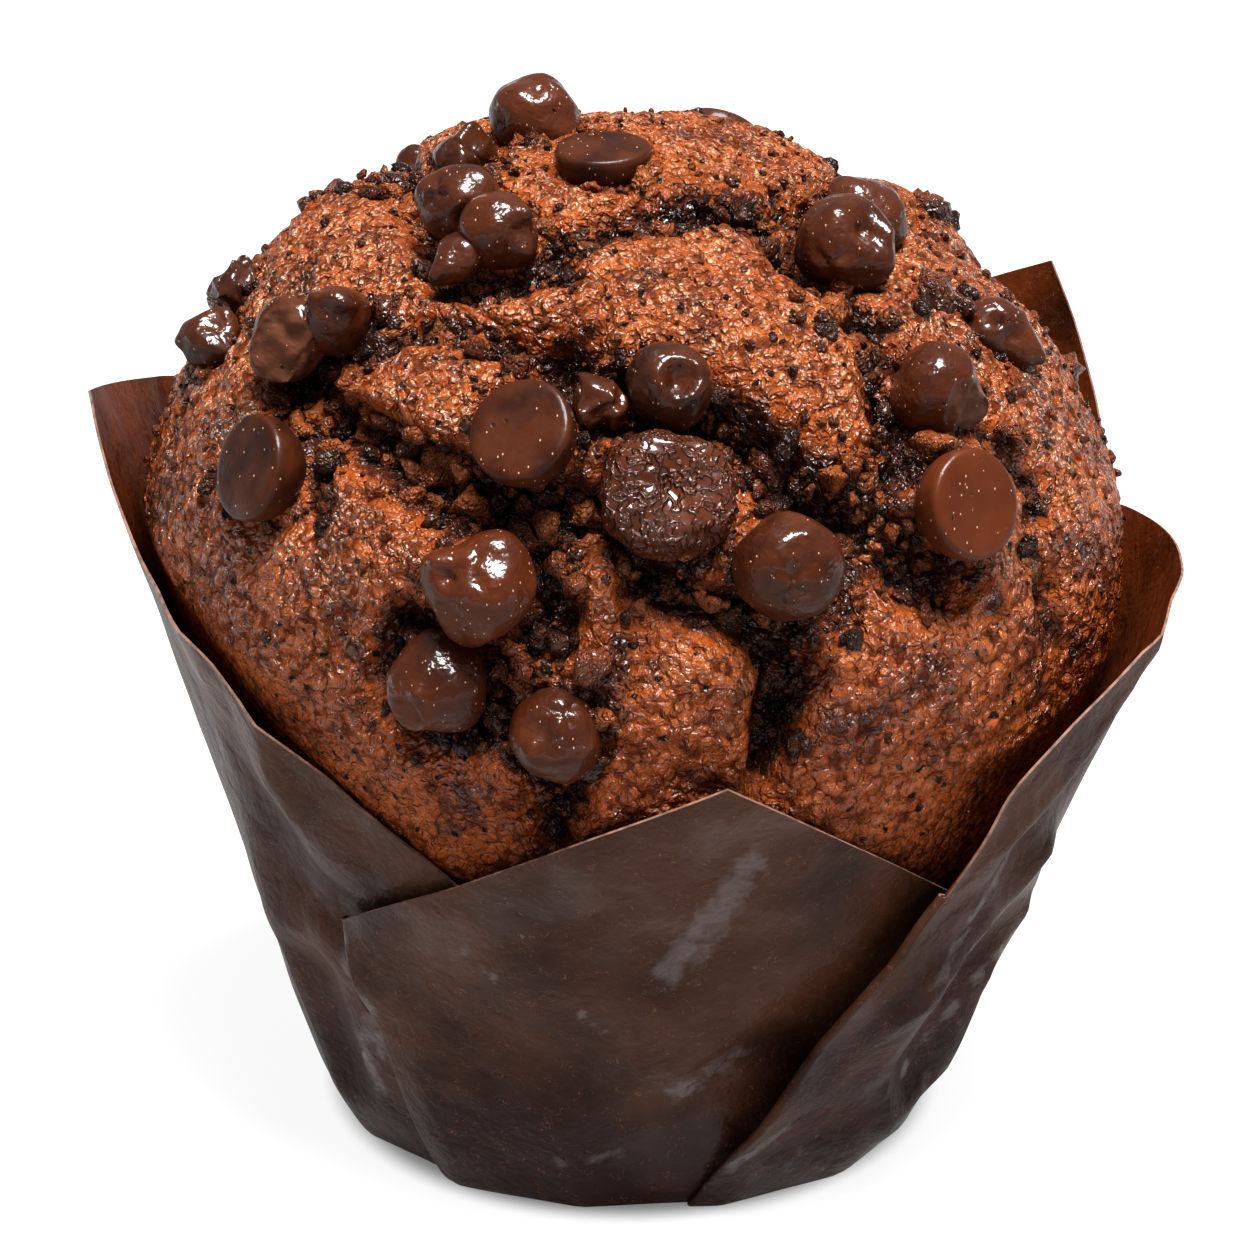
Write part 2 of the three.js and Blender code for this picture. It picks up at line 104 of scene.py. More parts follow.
def value_noise(points: Points, size: float, seed: int) -> Points:
    """Smooth noise from -1 to 1 whose bumps are about a size wide, in millimetres."""
    place = points / size
    cell = np.floor(place).astype(np.int64)
    part = place - cell
    part = part * part * (3 - 2 * part)
    total = np.zeros(points.shape[:-1])
    for corner in np.ndindex(2, 2, 2):
        weight = np.prod(np.where(corner, part, 1 - part), axis=-1)
        total += weight * hashed(cell + np.array(corner), seed)
    return total * 2 - 1


def vector_noise(points: Points, size: float, seed: int) -> Points:
    """Three noises as one vector."""
    return np.stack([value_noise(points, size, seed + 31 * i) for i in range(3)], axis=-1)


def cell_noise(points: Points, size: float, seed: int) -> Points:
    """The distance to the nearest of seeded points, in cells of a size in millimetres."""
    place = points / size
    cell = np.floor(place).astype(np.int64)
    nearest = np.full(points.shape[:-1], 9.0)
    for step in np.ndindex(3, 3, 3):
        other = cell + np.array(step) - 1
        spot = other + np.stack([hashed(other, seed + i) for i in range(3)], axis=-1)
        nearest = np.minimum(nearest, np.linalg.norm(place - spot, axis=-1))
    return nearest


def distance_to_course(points: Points, line: Points) -> Points:
    """The shortest way from each point to a line through several points."""
    best = np.full(len(points), np.inf)
    for start, end in zip(line[:-1], line[1:]):
        along = end - start
        share = np.clip((points - start) @ along / (along @ along), 0, 1)
        best = np.minimum(best, np.linalg.norm(points - start - share[:, None] * along, axis=1))
    return best


# Meshes


def clear_selection() -> None:
    """Deselect everything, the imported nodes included."""
    if bpy.context.object is not None and bpy.context.object.mode != "OBJECT":
        bpy.ops.object.mode_set(mode="OBJECT")
    bpy.ops.object.select_all(action="DESELECT")


def started(name: str, operator, **settings) -> bpy.types.Object:
    """Add a primitive, alone in the selection.

    Args:
        name: the piece's name.
        operator: the bpy.ops call that adds the primitive.
        settings: the primitive's size and place.

    Returns:
        The new object.
    """
    clear_selection()
    operator(**settings)
    piece = bpy.context.object
    piece.name = name
    piece.data.name = name
    return piece


def points_of(piece: bpy.types.Object) -> Points:
    """A piece's vertices, in millimetres."""
    flat = np.empty(len(piece.data.vertices) * 3, np.float32)
    piece.data.vertices.foreach_get("co", flat)
    return flat.reshape(-1, 3).astype(float) / MM


def place_points(piece: bpy.types.Object, points: Points) -> None:
    """Move a piece's vertices to places in millimetres."""
    piece.data.vertices.foreach_set("co", (points * MM).astype(np.float32).ravel())
    piece.data.update()


def normals_of(piece: bpy.types.Object) -> Points:
    """A piece's vertex normals."""
    flat = np.empty(len(piece.data.vertices) * 3, np.float32)
    piece.data.vertex_normals.foreach_get("vector", flat)
    return flat.reshape(-1, 3).astype(float)


def note(piece: bpy.types.Object, name: str, values: Points) -> None:
    """Keep a number for each vertex, which the piece's finish reads."""
    attribute = piece.data.attributes.new(name, "FLOAT", "POINT")
    attribute.data.foreach_set("value", values.astype(np.float32))


def triangles_of(piece: bpy.types.Object) -> Points:
    """The corners of a piece's triangles."""
    piece.data.calc_loop_triangles()
    flat = np.empty(len(piece.data.loop_triangles) * 3, np.int32)
    piece.data.loop_triangles.foreach_get("vertices", flat)
    return flat.reshape(-1, 3)


def mesh_piece(name: str, points: Points, faces: Points) -> bpy.types.Object:
    """A smooth piece from points in millimetres and faces of equal corner count."""
    corners = faces.shape[1]
    mesh = bpy.data.meshes.new(name)
    mesh.vertices.add(len(points))
    mesh.vertices.foreach_set("co", (points * MM).astype(np.float32).ravel())
    mesh.loops.add(faces.size)
    mesh.loops.foreach_set("vertex_index", faces.astype(np.int32).ravel())
    mesh.polygons.add(len(faces))
    mesh.polygons.foreach_set("loop_start", np.arange(0, faces.size, corners, dtype=np.int32))
    mesh.polygons.foreach_set("use_smooth", np.ones(len(faces), bool))
    mesh.update(calc_edges=True)
    piece = bpy.data.objects.new(name, mesh)
    bpy.context.scene.collection.objects.link(piece)
    return piece


def smooth(piece: bpy.types.Object, degrees: float = 180.0) -> None:
    """Shade a piece smooth where faces meet under an angle."""
    clear_selection()
    piece.select_set(True)
    bpy.context.view_layer.objects.active = piece
    bpy.ops.object.shade_smooth_by_angle(angle=math.radians(degrees))


def applied(piece: bpy.types.Object, kind: str, **settings) -> None:
    """Finish a piece with a modifier and apply it."""
    modifier = piece.modifiers.new(kind.title(), kind)
    for name, value in settings.items():
        setattr(modifier, name, value)
    clear_selection()
    piece.select_set(True)
    bpy.context.view_layer.objects.active = piece
    bpy.ops.object.modifier_apply(modifier=modifier.name)


def seat(piece: bpy.types.Object, nodes: tuple[str, ...] = ()) -> None:
    """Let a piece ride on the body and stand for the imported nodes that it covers."""
    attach(piece, BODY)
    if nodes:
        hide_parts(*nodes)
    LOG.info("%s: %d faces", piece.name, len(piece.data.polygons))


# Finishes


def linear(code: str) -> tuple[float, float, float, float]:
    """An sRGB hex colour as linear light."""
    parts = [int(code[i:i + 2], 16) / 255 for i in (1, 3, 5)]
    light = [p / 12.92 if p <= 0.04045 else ((p + 0.055) / 1.055) ** 2.4 for p in parts]
    return (*light, 1.0)


def add_node(tree: bpy.types.NodeTree, kind: str, inputs: dict | None = None, **settings) -> bpy.types.Node:
    """Add a node with its settings and links.

    Args:
        tree: the node tree.
        kind: the node's type.
        inputs: a value, or another node's output, for each named or numbered socket.
        settings: the node's own properties.

    Returns:
        The new node.
    """
    node = tree.nodes.new(kind)
    for name, value in settings.items():
        setattr(node, name, value)
    for name, value in (inputs or {}).items():
        if isinstance(value, bpy.types.NodeSocket):
            tree.links.new(value, node.inputs[name])
        else:
            node.inputs[name].default_value = value
    return node


def ramp(tree: bpy.types.NodeTree, source: bpy.types.NodeSocket, stops: list) -> bpy.types.NodeSocket:
    """Colours along a value.

    Args:
        tree: the node tree.
        source: the value.
        stops: pairs of a place from 0 to 1 and a hex colour.

    Returns:
        The colour.
    """
    node = add_node(tree, "ShaderNodeValToRGB", {"Fac": source})
    elements = node.color_ramp.elements
    while len(elements) < len(stops):
        elements.new(0.5)
    for element, (place, code) in zip(elements, stops):
        element.position = place
        element.color = linear(code)
    return node.outputs["Color"]


def blend_colours(tree, share, first, second) -> bpy.types.NodeSocket:
    """The colour a share of the way from the first to the second."""
    inputs = {0: share, 6: first, 7: second}
    return add_node(tree, "ShaderNodeMix", inputs, data_type="RGBA").outputs[2]


def calculate(tree, operation: str, *values) -> bpy.types.NodeSocket:
    """One sum on values."""
    inputs = dict(enumerate(values))
    return add_node(tree, "ShaderNodeMath", inputs, operation=operation).outputs[0]


def between(tree, value, low: float, high: float, start: float = 0.0, end: float = 1.0) -> bpy.types.NodeSocket:
    """A value's place between low and high, as a value from start to end."""
    inputs = {"Value": value, "From Min": low, "From Max": high, "To Min": start, "To Max": end}
    return add_node(tree, "ShaderNodeMapRange", inputs, interpolation_type="SMOOTHSTEP").outputs[0]


def millimetres(tree) -> bpy.types.NodeSocket:
    """The object's own coordinates, in millimetres."""
    place = add_node(tree, "ShaderNodeTexCoord").outputs["Object"]
    scaled = add_node(tree, "ShaderNodeVectorMath", {0: place, 1: (1 / MM,) * 3}, operation="MULTIPLY")
    return scaled.outputs[0]


def stirred(tree, place, size: float, amount: float) -> bpy.types.NodeSocket:
    """Coordinates pushed about by noise of a size, by an amount, both in millimetres."""
    noise = add_node(tree, "ShaderNodeTexNoise", {"Vector": place, "Scale": 1 / size, "Detail": 2.0})
    inputs = {0: noise.outputs["Color"], 1: (0.5, 0.5, 0.5)}
    centred = add_node(tree, "ShaderNodeVectorMath", inputs, operation="SUBTRACT").outputs[0]
    inputs = {0: centred, 1: (2 * amount,) * 3, 2: place}
    return add_node(tree, "ShaderNodeVectorMath", inputs, operation="MULTIPLY_ADD").outputs[0]


def mottle(tree, place, size: float, detail: float = 2.0) -> bpy.types.NodeSocket:
    """Cloudy noise of a size in millimetres, from about 0.2 to 0.8."""
    inputs = {"Vector": place, "Scale": 1 / size, "Detail": detail}
    return add_node(tree, "ShaderNodeTexNoise", inputs).outputs[0]


def cells(tree, place, size: float) -> bpy.types.NodeSocket:
    """The distance to the nearest of scattered points, a size in millimetres apart, in sizes."""
    inputs = {"Vector": place, "Scale": 1 / size}
    return add_node(tree, "ShaderNodeTexVoronoi", inputs).outputs["Distance"]


def bubbles(tree, place, size: float) -> bpy.types.NodeSocket:
    """Rims of burst bubbles, from 0 to 1, whose centres lie a size in millimetres apart."""
    away = cells(tree, place, size)
    outward = between(tree, away, 0.42, 0.66, 1.0, 0.0)
    return calculate(tree, "MULTIPLY", between(tree, away, 0.12, 0.38), outward)


def creases(tree, place, size: float, width: float) -> bpy.types.NodeSocket:
    """Winding lines, 1 on the line, from noise of a size in millimetres."""
    away = calculate(tree, "ABSOLUTE", calculate(tree, "SUBTRACT", mottle(tree, place, size, 1.0), 0.5))
    return between(tree, away, 0.0, width, 1.0, 0.0)


def facing_up(tree) -> bpy.types.NodeSocket:
    """How far the surface faces up: 1 level, 0 upright and -1 underneath."""
    normal = add_node(tree, "ShaderNodeNewGeometry").outputs["Normal"]
    return add_node(tree, "ShaderNodeSeparateXYZ", {0: normal}).outputs["Z"]


def attribute(tree, name: str) -> bpy.types.NodeSocket:
    """A number kept on the piece's vertices."""
    return add_node(tree, "ShaderNodeAttribute", attribute_name=name).outputs["Fac"]


def raised(tree, height, depth: float, under=None) -> bpy.types.NodeSocket:
    """A normal for a height from 0 to 1 that stands for a depth in millimetres."""
    inputs = {"Height": height, "Distance": depth * MM, "Strength": 1.0}
    if under is not None:
        inputs["Normal"] = under
    return add_node(tree, "ShaderNodeBump", inputs).outputs["Normal"]


def new_material(name: str) -> tuple[bpy.types.Material, bpy.types.NodeTree]:
    """An empty material and its node tree."""
    material = bpy.data.materials.new(name)
    material.use_nodes = True
    material.node_tree.nodes.clear()
    return material, material.node_tree


def surfaced(tree, inputs: dict) -> None:
    """End a tree in one shader."""
    shader = add_node(tree, "ShaderNodeBsdfPrincipled", inputs)
    add_node(tree, "ShaderNodeOutputMaterial", {"Surface": shader.outputs[0]})


@dataclass(frozen=True)
class CrustFinish:
    """Cocoa crust baked in an oven: fat and sugar make its bubbled grain glisten. Its colour also carries
    painted light: pale painted glints, most towards the top, and painted shade in the gaps between grains, in
    pores and deep in cracks.
    """

    deep: str = "#3e1405"
    middle: str = "#7d350d"
    light: str = "#97491b"
    # Pale colour of the painted glints.
    painted_glint: str = "#cfa07c"
    ember: str = "#8c3d0f"
    ash: str = "#432417"
    # Moist crumb of the cracks, darkened further as painted shade.
    crack: str = "#331307"
    # Near-black painted shade in pores and deepest in the cracks.
    pit_shade: str = "#0d0402"
    bead: float = 0.86
    grit: float = 0.4
    pore_spacing: float = 1.8
    rough: float = 0.38
    # Heights where the coat's glaze and the painted glints begin and reach their full.
    lowest_glaze_and_glint: float = 38.0
    full_glaze_and_glint: float = 72.0

    def material(self) -> bpy.types.Material:
        """Build the material."""
        material, tree = new_material("baked_cocoa_crust")
        place = millimetres(tree)
        loose = stirred(tree, stirred(tree, place, 1.6, 0.6), 0.5, 0.24)
        away = cells(tree, loose, self.bead)
        bead = between(tree, away, 0.1, 0.8, 1.0, 0.0)
        grit = between(tree, cells(tree, loose, self.grit), 0.1, 0.65, 1.0, 0.0)
        level = add_node(tree, "ShaderNodeSeparateXYZ", {0: place}).outputs["Z"]
        upper = between(tree, level, self.lowest_glaze_and_glint, self.full_glaze_and_glint)
        colour = ramp(tree, mottle(tree, place, 5.0, 4.0), [
            (0.34, self.deep), (0.48, self.middle), (0.64, self.light)])
        flecks = between(tree, mottle(tree, place, 1.1), 0.5, 0.64, 0.0, 0.8)
        colour = blend_colours(tree, flecks, colour, linear(self.ember))
        ashes = between(tree, mottle(tree, loose, 1.9), 0.55, 0.68, 0.0, 0.5)
        colour = blend_colours(tree, ashes, colour, linear(self.ash))
        # Painted glints: pale specks on the grit, in patches, far more of them towards the top, where the light
        # falls.
        glint_patches = between(tree, mottle(tree, place, 2.4, 3.0), 0.38, 0.6, 0.4, 1.0)
        painted_glint = calculate(tree, "MULTIPLY", calculate(tree, "POWER", grit, 2.0), glint_patches)
        painted_glint = calculate(tree, "MULTIPLY", painted_glint, between(tree, upper, 0.0, 1.0, 0.08, 0.9))
        colour = blend_colours(tree, painted_glint, colour, linear(self.painted_glint))
        # Painted shade: the gaps between beads are darkened towards the deep colour.
        painted_gap_shade = between(tree, away, 0.56, 0.8, 0.0, 0.85)
        colour = blend_colours(tree, painted_gap_shade, colour, linear(self.deep))
        chasm = attribute(tree, "chasm")
        ragged = calculate(tree, "MULTIPLY_ADD", mottle(tree, place, 1.5, 3.0), 1.3, -0.65)
        open_crumb = calculate(tree, "ADD", chasm, ragged)
        lip = calculate(tree, "MULTIPLY", between(tree, chasm, 0.05, 0.3), 0.6)
        colour = blend_colours(tree, lip, colour, linear(self.ember))
        # Where crumb lies open, the moist crumb colour deepens into painted shade, near-black deepest in.
        colour = blend_colours(tree, between(tree, open_crumb, 0.3, 0.75), colour, linear(self.crack))
        colour = blend_colours(tree, between(tree, open_crumb, 0.8, 1.2), colour, linear(self.pit_shade))
        # Pores: small dents in the bump, painted near-black as painted shade.
        pore_dents_and_shade = between(tree, cells(tree, loose, self.pore_spacing), 0.1, 0.17, 1.0, 0.0)
        colour = blend_colours(tree, pore_dents_and_shade, colour, linear(self.pit_shade))
        height = calculate(tree, "MULTIPLY_ADD", grit, 0.4, bead)
        height = calculate(tree, "MULTIPLY_ADD", pore_dents_and_shade, -2.0, height)
        normal = raised(tree, mottle(tree, loose, 1.6, 3.0), 0.9)
        normal = raised(tree, height, 0.42, normal)
        skin = raised(tree, height, 0.46)
        rough = between(tree, mottle(tree, place, 0.8), 0.35, 0.65, self.rough - 0.1, self.rough + 0.2)
        edgewise = add_node(tree, "ShaderNodeLayerWeight", {"Blend": 0.5}).outputs["Facing"]
        upward = between(tree, facing_up(tree), -0.3, 0.3, 0.45, 1.0)
        glaze = calculate(tree, "MULTIPLY", between(tree, upper, 0.0, 1.0, 0.7, 1.0),
                          between(tree, bead, 0.02, 0.2, 0.1, 1.0))
        glaze = calculate(tree, "MULTIPLY", glaze, between(tree, edgewise, 0.45, 0.95, 1.0, 0.1))
        glaze = calculate(tree, "MULTIPLY", glaze, upward)
        surfaced(tree, {
            "Base Color": colour, "Roughness": rough, "Specular IOR Level": 0.04, "Normal": normal,
            "Coat Weight": glaze, "Coat Roughness": 0.1, "Coat Normal": skin})
        return material


@dataclass(frozen=True)
class CrumbFinish:
    """Loose crumb of the same batter, torn open as it rose: moist, so each grain has a glint."""

    name: str
    shades: tuple[str, str, str]
    rough: float = 0.4
    coat: float = 0.3

    def material(self) -> bpy.types.Material:
        """Build the material."""
        material, tree = new_material(self.name)
        place = millimetres(tree)
        shade = calculate(tree, "MULTIPLY_ADD", mottle(tree, place, 0.9, 3.0), 1.2, -0.6)
        shade = calculate(tree, "ADD", attribute(tree, "shade"), shade)
        colour = ramp(tree, shade, list(zip((0.1, 0.5, 0.9), self.shades)))
        loose = stirred(tree, place, 0.8, 0.25)
        height = calculate(tree, "MULTIPLY_ADD", creases(tree, loose, 0.6, 0.1), 0.4, bubbles(tree, loose, 0.6))
        normal = raised(tree, height, 0.2)
        surfaced(tree, {
            "Base Color": colour, "Roughness": self.rough, "Specular IOR Level": 0.08, "Normal": normal,
            "Coat Weight": self.coat, "Coat Roughness": 0.1, "Coat Normal": normal})
        return material


@dataclass(frozen=True)
class ChocolateFinish:
    """Dark baking chocolate: moulded drops keep a satin skin, and melted ones set glossy."""

    name: str
    dark: str = "#230b04"
    middle: str = "#3c1908"
    light: str = "#642b10"
    broken: str = "#4b2819"
    rough: float = 0.34
    coat: float = 0.5
    coat_rough: float = 0.1
    wrinkle: float = 0.0
    speck: str = "#b08468"
    speck_spacing: float = 0.62
    waves: float = 0.0

    def material(self) -> bpy.types.Material:
        """Build the material."""
        material, tree = new_material(self.name)
        place = millimetres(tree)
        loose = stirred(tree, place, 2.0, 0.6)
        colour = ramp(tree, mottle(tree, loose, 3.2, 3.0), [(0.35, self.dark), (0.62, self.middle)])
        colour = blend_colours(tree, attribute(tree, "tone"), colour, linear(self.light))
        broken = attribute(tree, "broken")
        colour = blend_colours(tree, broken, colour, linear(self.broken))
        long = add_node(tree, "ShaderNodeVectorMath", {0: place, 1: (1.0, 0.55, 0.7)}, operation="MULTIPLY")
        specks = between(tree, cells(tree, long.outputs[0], self.speck_spacing), 0.08, 0.13, 1.0, 0.0)
        colour = blend_colours(tree, specks, colour, linear(self.speck))
        nicks = between(tree, cells(tree, loose, 2.3), 0.05, 0.08, 1.0, 0.0)
        colour = blend_colours(tree, nicks, colour, linear(self.dark))
        height = calculate(tree, "MULTIPLY_ADD", specks, 0.8, mottle(tree, place, 1.6, 3.0))
        height = calculate(tree, "MULTIPLY_ADD", nicks, -0.8, height)
        normal = raised(tree, height, 0.08)
        if self.waves:
            normal = raised(tree, mottle(tree, loose, 1.1, 2.0), self.waves, normal)
        if self.wrinkle:
            normal = raised(tree, creases(tree, loose, 0.9, 0.12), self.wrinkle, normal)
        spread = between(tree, mottle(tree, place, 1.1), 0.35, 0.65, self.rough - 0.05, self.rough + 0.1)
        rough = calculate(tree, "MULTIPLY_ADD", broken, 0.3, spread)
        sheen = calculate(tree, "MULTIPLY", between(tree, broken, 0.0, 1.0, self.coat, 0.0),
                          between(tree, facing_up(tree), -0.1, 0.5, 0.1, 1.0))
        edgewise = add_node(tree, "ShaderNodeLayerWeight", {"Blend": 0.5}).outputs["Facing"]
        sheen = calculate(tree, "MULTIPLY", sheen, between(tree, edgewise, 0.5, 0.95, 1.0, 0.4))
        surfaced(tree, {
            "Base Color": colour, "Roughness": rough, "Specular IOR Level": 0.1, "Normal": normal,
            "Coat Weight": sheen,
            "Coat Roughness": self.coat_rough, "Coat Normal": normal})
        return material


@dataclass(frozen=True)
class PaperFinish:
    """Brown greaseproof paper, pressed smooth: fine fibres show, fat from the cake greys it, painted sheen
    streaks grey it along ridges, and painted shade darkens it towards the foot.
    """

    name: str
    dark: str = "#24110a"
    middle: str = "#402518"
    fibre: str = "#7e5039"
    # Grey of fat stains, also used for the painted sheen streaks.
    grease_and_sheen: str = "#524546"
    rough: float = 0.45
    sheen: tuple[float, float] = (0.06, 0.27)

    def material(self) -> bpy.types.Material:
        """Build the material."""
        material, tree = new_material(self.name)
        place = millimetres(tree)
        loose = stirred(tree, place, 4.0, 1.6)
        level = add_node(tree, "ShaderNodeSeparateXYZ", {0: place}).outputs["Z"]
        # Painted shade: the paper's colour darkens towards the foot.
        painted_foot_shade = between(tree, level, 2.0, 26.0, -0.17, 0.04)
        cloud = calculate(tree, "ADD", mottle(tree, place, 12.0, 5.0), painted_foot_shade)
        colour = ramp(tree, cloud, [(0.36, self.dark), (0.6, self.middle)])
        inputs = {"Vector": loose, "Scale": 1 / 0.7, "Detail": 1.0, "Distortion": 1.4}
        strands = add_node(tree, "ShaderNodeTexNoise", inputs).outputs[0]
        strands = calculate(tree, "ABSOLUTE", calculate(tree, "SUBTRACT", strands, 0.5))
        strands = between(tree, strands, 0.0, 0.022, 1.0, 0.0)
        patchy = between(tree, mottle(tree, place, 1.3), 0.48, 0.62, 0.0, 0.55)
        strands = calculate(tree, "MULTIPLY", strands, patchy)
        colour = blend_colours(tree, strands, colour, linear(self.fibre))
        torn = calculate(tree, "MULTIPLY_ADD", mottle(tree, place, 1.6, 5.0), 1.6, -0.8)
        # Fat greys the paper in places; along the ridges the same grey is painted sheen.
        grease_and_sheen = between(tree, calculate(tree, "ADD", attribute(tree, "grease_and_sheen"), torn), 0.35, 0.85)
        colour = blend_colours(tree, calculate(tree, "MULTIPLY", grease_and_sheen, 0.38), colour, linear(self.grease_and_sheen))
        height = calculate(tree, "MULTIPLY_ADD", strands, 0.5, mottle(tree, place, 0.5, 3.0))
        normal = raised(tree, height, 0.06)
        normal = raised(tree, mottle(tree, loose, 3.0, 4.0), 0.5, normal)
        shine = between(tree, mottle(tree, loose, 9.0, 4.0), 0.5, 0.7, *self.sheen)
        shine = calculate(tree, "MULTIPLY_ADD", grease_and_sheen, 0.4, shine)
        surfaced(tree, {
            "Base Color": colour, "Roughness": self.rough, "Specular IOR Level": 0.05, "Normal": normal,
            "Coat Weight": shine, "Coat Roughness": 0.3, "Coat Normal": normal})
        return material


@dataclass(frozen=True)
class CutEdgeFinish:
    """The sheet's sheared edge, where bare fibre shows paler than the face."""

    colour: str = "#7a5340"

    def material(self) -> bpy.types.Material:
        """Build the material."""
        material, tree = new_material("sheared_paper_edge")
        place = millimetres(tree)
        stops = [(0.35, "#4c3024"), (0.6, self.colour)]
        colour = ramp(tree, mottle(tree, place, 0.9, 3.0), stops)
        surfaced(tree, {"Base Color": colour, "Roughness": 0.75, "IOR": 1.5})
        return material


# The cake's form


@dataclass(frozen=True)
class Crack:
    """A crack between islands of crust: its half width, its depth and its course."""

    name: str
    half: float
    depth: float
    course: tuple[tuple[float, float], ...]

    def line(self, reach: float) -> Points:
        """The course's points, a reach from the dome's centre."""
        course = np.array(self.course, float)
        return heading(course[:, 0], course[:, 1]) * reach


CRACKS = (
    Crack("brow", 2.4, 3.8, (
        (-12, 42), (-5, 39), (1, 36), (10, 35), (18, 31), (23, 26), (27, 21), (33, 16), (37, 13))),
    Crack("crown", 2.2, 2.2, (
        (-62, 58), (-43, 52), (-32, 52), (-21, 57), (-15, 63), (3, 68), (28, 70), (44, 66), (43, 57))),
    Crack("right_shoulder", 2.0, 2.4, ((43, 57), (44, 47), (46, 43), (43, 36), (40, 29), (36, 24))),
    Crack("left_shoulder", 1.7, 1.6, ((-12, 42), (-23, 44), (-35, 45), (-43, 42), (-46, 38), (-48, 34))),
    Crack("cheek", 2.4, 3.8, ((-58, 35), (-47, 30), (-34, 28), (-26, 25), (-18, 23), (-8, 23))),
    Crack("cheek_spur", 1.6, 1.4, ((-47, 30), (-47, 25), (-42, 20))),
    Crack("heart_left", 2.3, 3.3, ((-5, 24), (-9, 20), (-13, 18), (-11, 12), (-15, 8), (-27, 8))),
    Crack("chin", 2.0, 2.4, (
        (-27, 8), (-28, 3), (-26, -3), (-19, -3), (-14, 1), (-12, -3), (-7, -8), (-9, -15))),
    Crack("heart", 2.1, 2.4, ((-5, 24), (1, 17), (8, 13), (12, 12))),
    Crack("throat", 2.0, 3.8, ((12, 12), (17, 8), (18, 3), (16, 0), (15, -8))),
    Crack("heart_right", 2.0, 2.0, ((27, 21), (27, 15), (24, 10), (17, 8))),
    Crack("right_cheek", 1.5, 1.2, ((56, 24), (60, 16), (55, 11), (58, 4))),
    Crack("rear_left_rim", 2.2, 2.2, ((-62, 58), (-85, 60), (-115, 52), (-140, 48), (-165, 50))),
    Crack("rear_left", 2.2, 2.6, ((-140, 48), (-150, 35), (-140, 22), (-150, 8))),
    Crack("left_flank", 1.8, 1.8, ((-115, 52), (-108, 38), (-118, 25), (-105, 12))),
    Crack("rear_right_rim", 2.2, 2.3, ((44, 66), (80, 62), (110, 55), (135, 48), (150, 40))),
    Crack("right_flank", 1.9, 1.9, ((110, 55), (105, 40), (112, 25), (100, 12))),
    Crack("rear_middle", 2.2, 2.7, ((165, 55), (150, 40), (158, 28), (175, 20), (190, 10), (185, -2))),
    Crack("rear_link", 1.8, 1.7, ((112, 25), (130, 20), (150, 22), (158, 28))),
)

# Places where the crust burst open or settled: bearing, rise, reach, depth
HOLLOWS = (
    (18, 32, 5.5, 1.5), (25, 22, 6, 1.8), (-3, 9, 5, 1.3), (-28, 26, 4.5, 1.6), (30, 69, 5.5, 0.9),
    (-56, 55, 5, 0.8), (61, 16, 4, 0.7), (150, 30, 5, 1.3), (-145, 28, 5, 1.3),
    (178, 14, 5, 1.2), (-100, 20, 4, 0.8), (104, 22, 4, 0.8),
)

# Broad departures of the risen dome from its plain form: bearing, rise, reach, depth
SLUMPS = ((78, 50, 20, 1.8), (-95, 52, 14, -1.3))

# Patches of dark moist crumb: bearing, rise, reach, strength
DARK_PATCHES = (
    (18, 34, 3.4, 0.9), (27, 25, 4.0, 0.9), (50, 70, 3.2, 0.7), (26, 73, 3.0, 0.6), (-1.5, 6.2, 3.4, 0.9),
    (-8, -1.5, 3.2, 0.7), (45.4, 7.8, 1.5, 0.9), (-60.8, 17.9, 1.5, 0.9), (60.5, 24, 2.0, 0.7),
    (61.7, 16.2, 2.0, 0.8), (-32, 28, 3.0, 0.8), (-24.6, 25, 3.0, 0.8), (-36, 44, 2.2, 0.6),
    (-5, 38.5, 3.0, 0.8), (7.7, 18.6, 2.8, 0.6), (-47.7, 31.4, 2.6, 0.7), (46, 44.5, 2.4, 0.7),
    (-26.9, 10, 3.0, 0.7), (16, -1, 2.0, 0.8), (-14.7, -2, 2.6, 0.7), (-43, 63, 3.0, 0.6),
    (160, 30, 4, 0.8), (-140, 30, 4, 0.8), (120, 50, 3, 0.7), (-170, 16, 3, 0.7), (98, 20, 3, 0.6),
    (-108, 24, 3, 0.6), (-95, 45, 2.4, 0.6),
)


# Where melted chocolate ran out of the crust: bearing, rise
MELTED_SPOTS = (
    (-90.9, 67.7), (-99.6, 47.7), (-94, 32.7), (-40.2, 56), (-34, 54), (65.2, 43.6), (77.1, 63.3),
    (71.7, 41.6), (-49.1, 45.4), (33.1, 45), (-6.8, 18.6), (-8, 2), (-12, 3), (24, 27), (-150, 44),
    (158, 33), (-168, 18), (120, 40), (-120, 20),
)


@dataclass(frozen=True)
class Wall:
    """The case's wall: a cup that opens more to the right than to the left."""

    base_radius: float = 25.0
    slope: float = 0.39
    lean: float = 0.038
    pinch: float = 0.05
    foot_round: float = 0.8
    foot_height: float = 1.2

    def radius(self, bearing: Points, z: Points) -> Points:
        """The radius about the axis of the paper's middle layer."""
        side = np.sin(np.radians(bearing))
        slope = self.slope + self.lean * side - self.pinch * side**2
        return self.base_radius + slope * z - self.foot_round * np.exp(-z / self.foot_height)


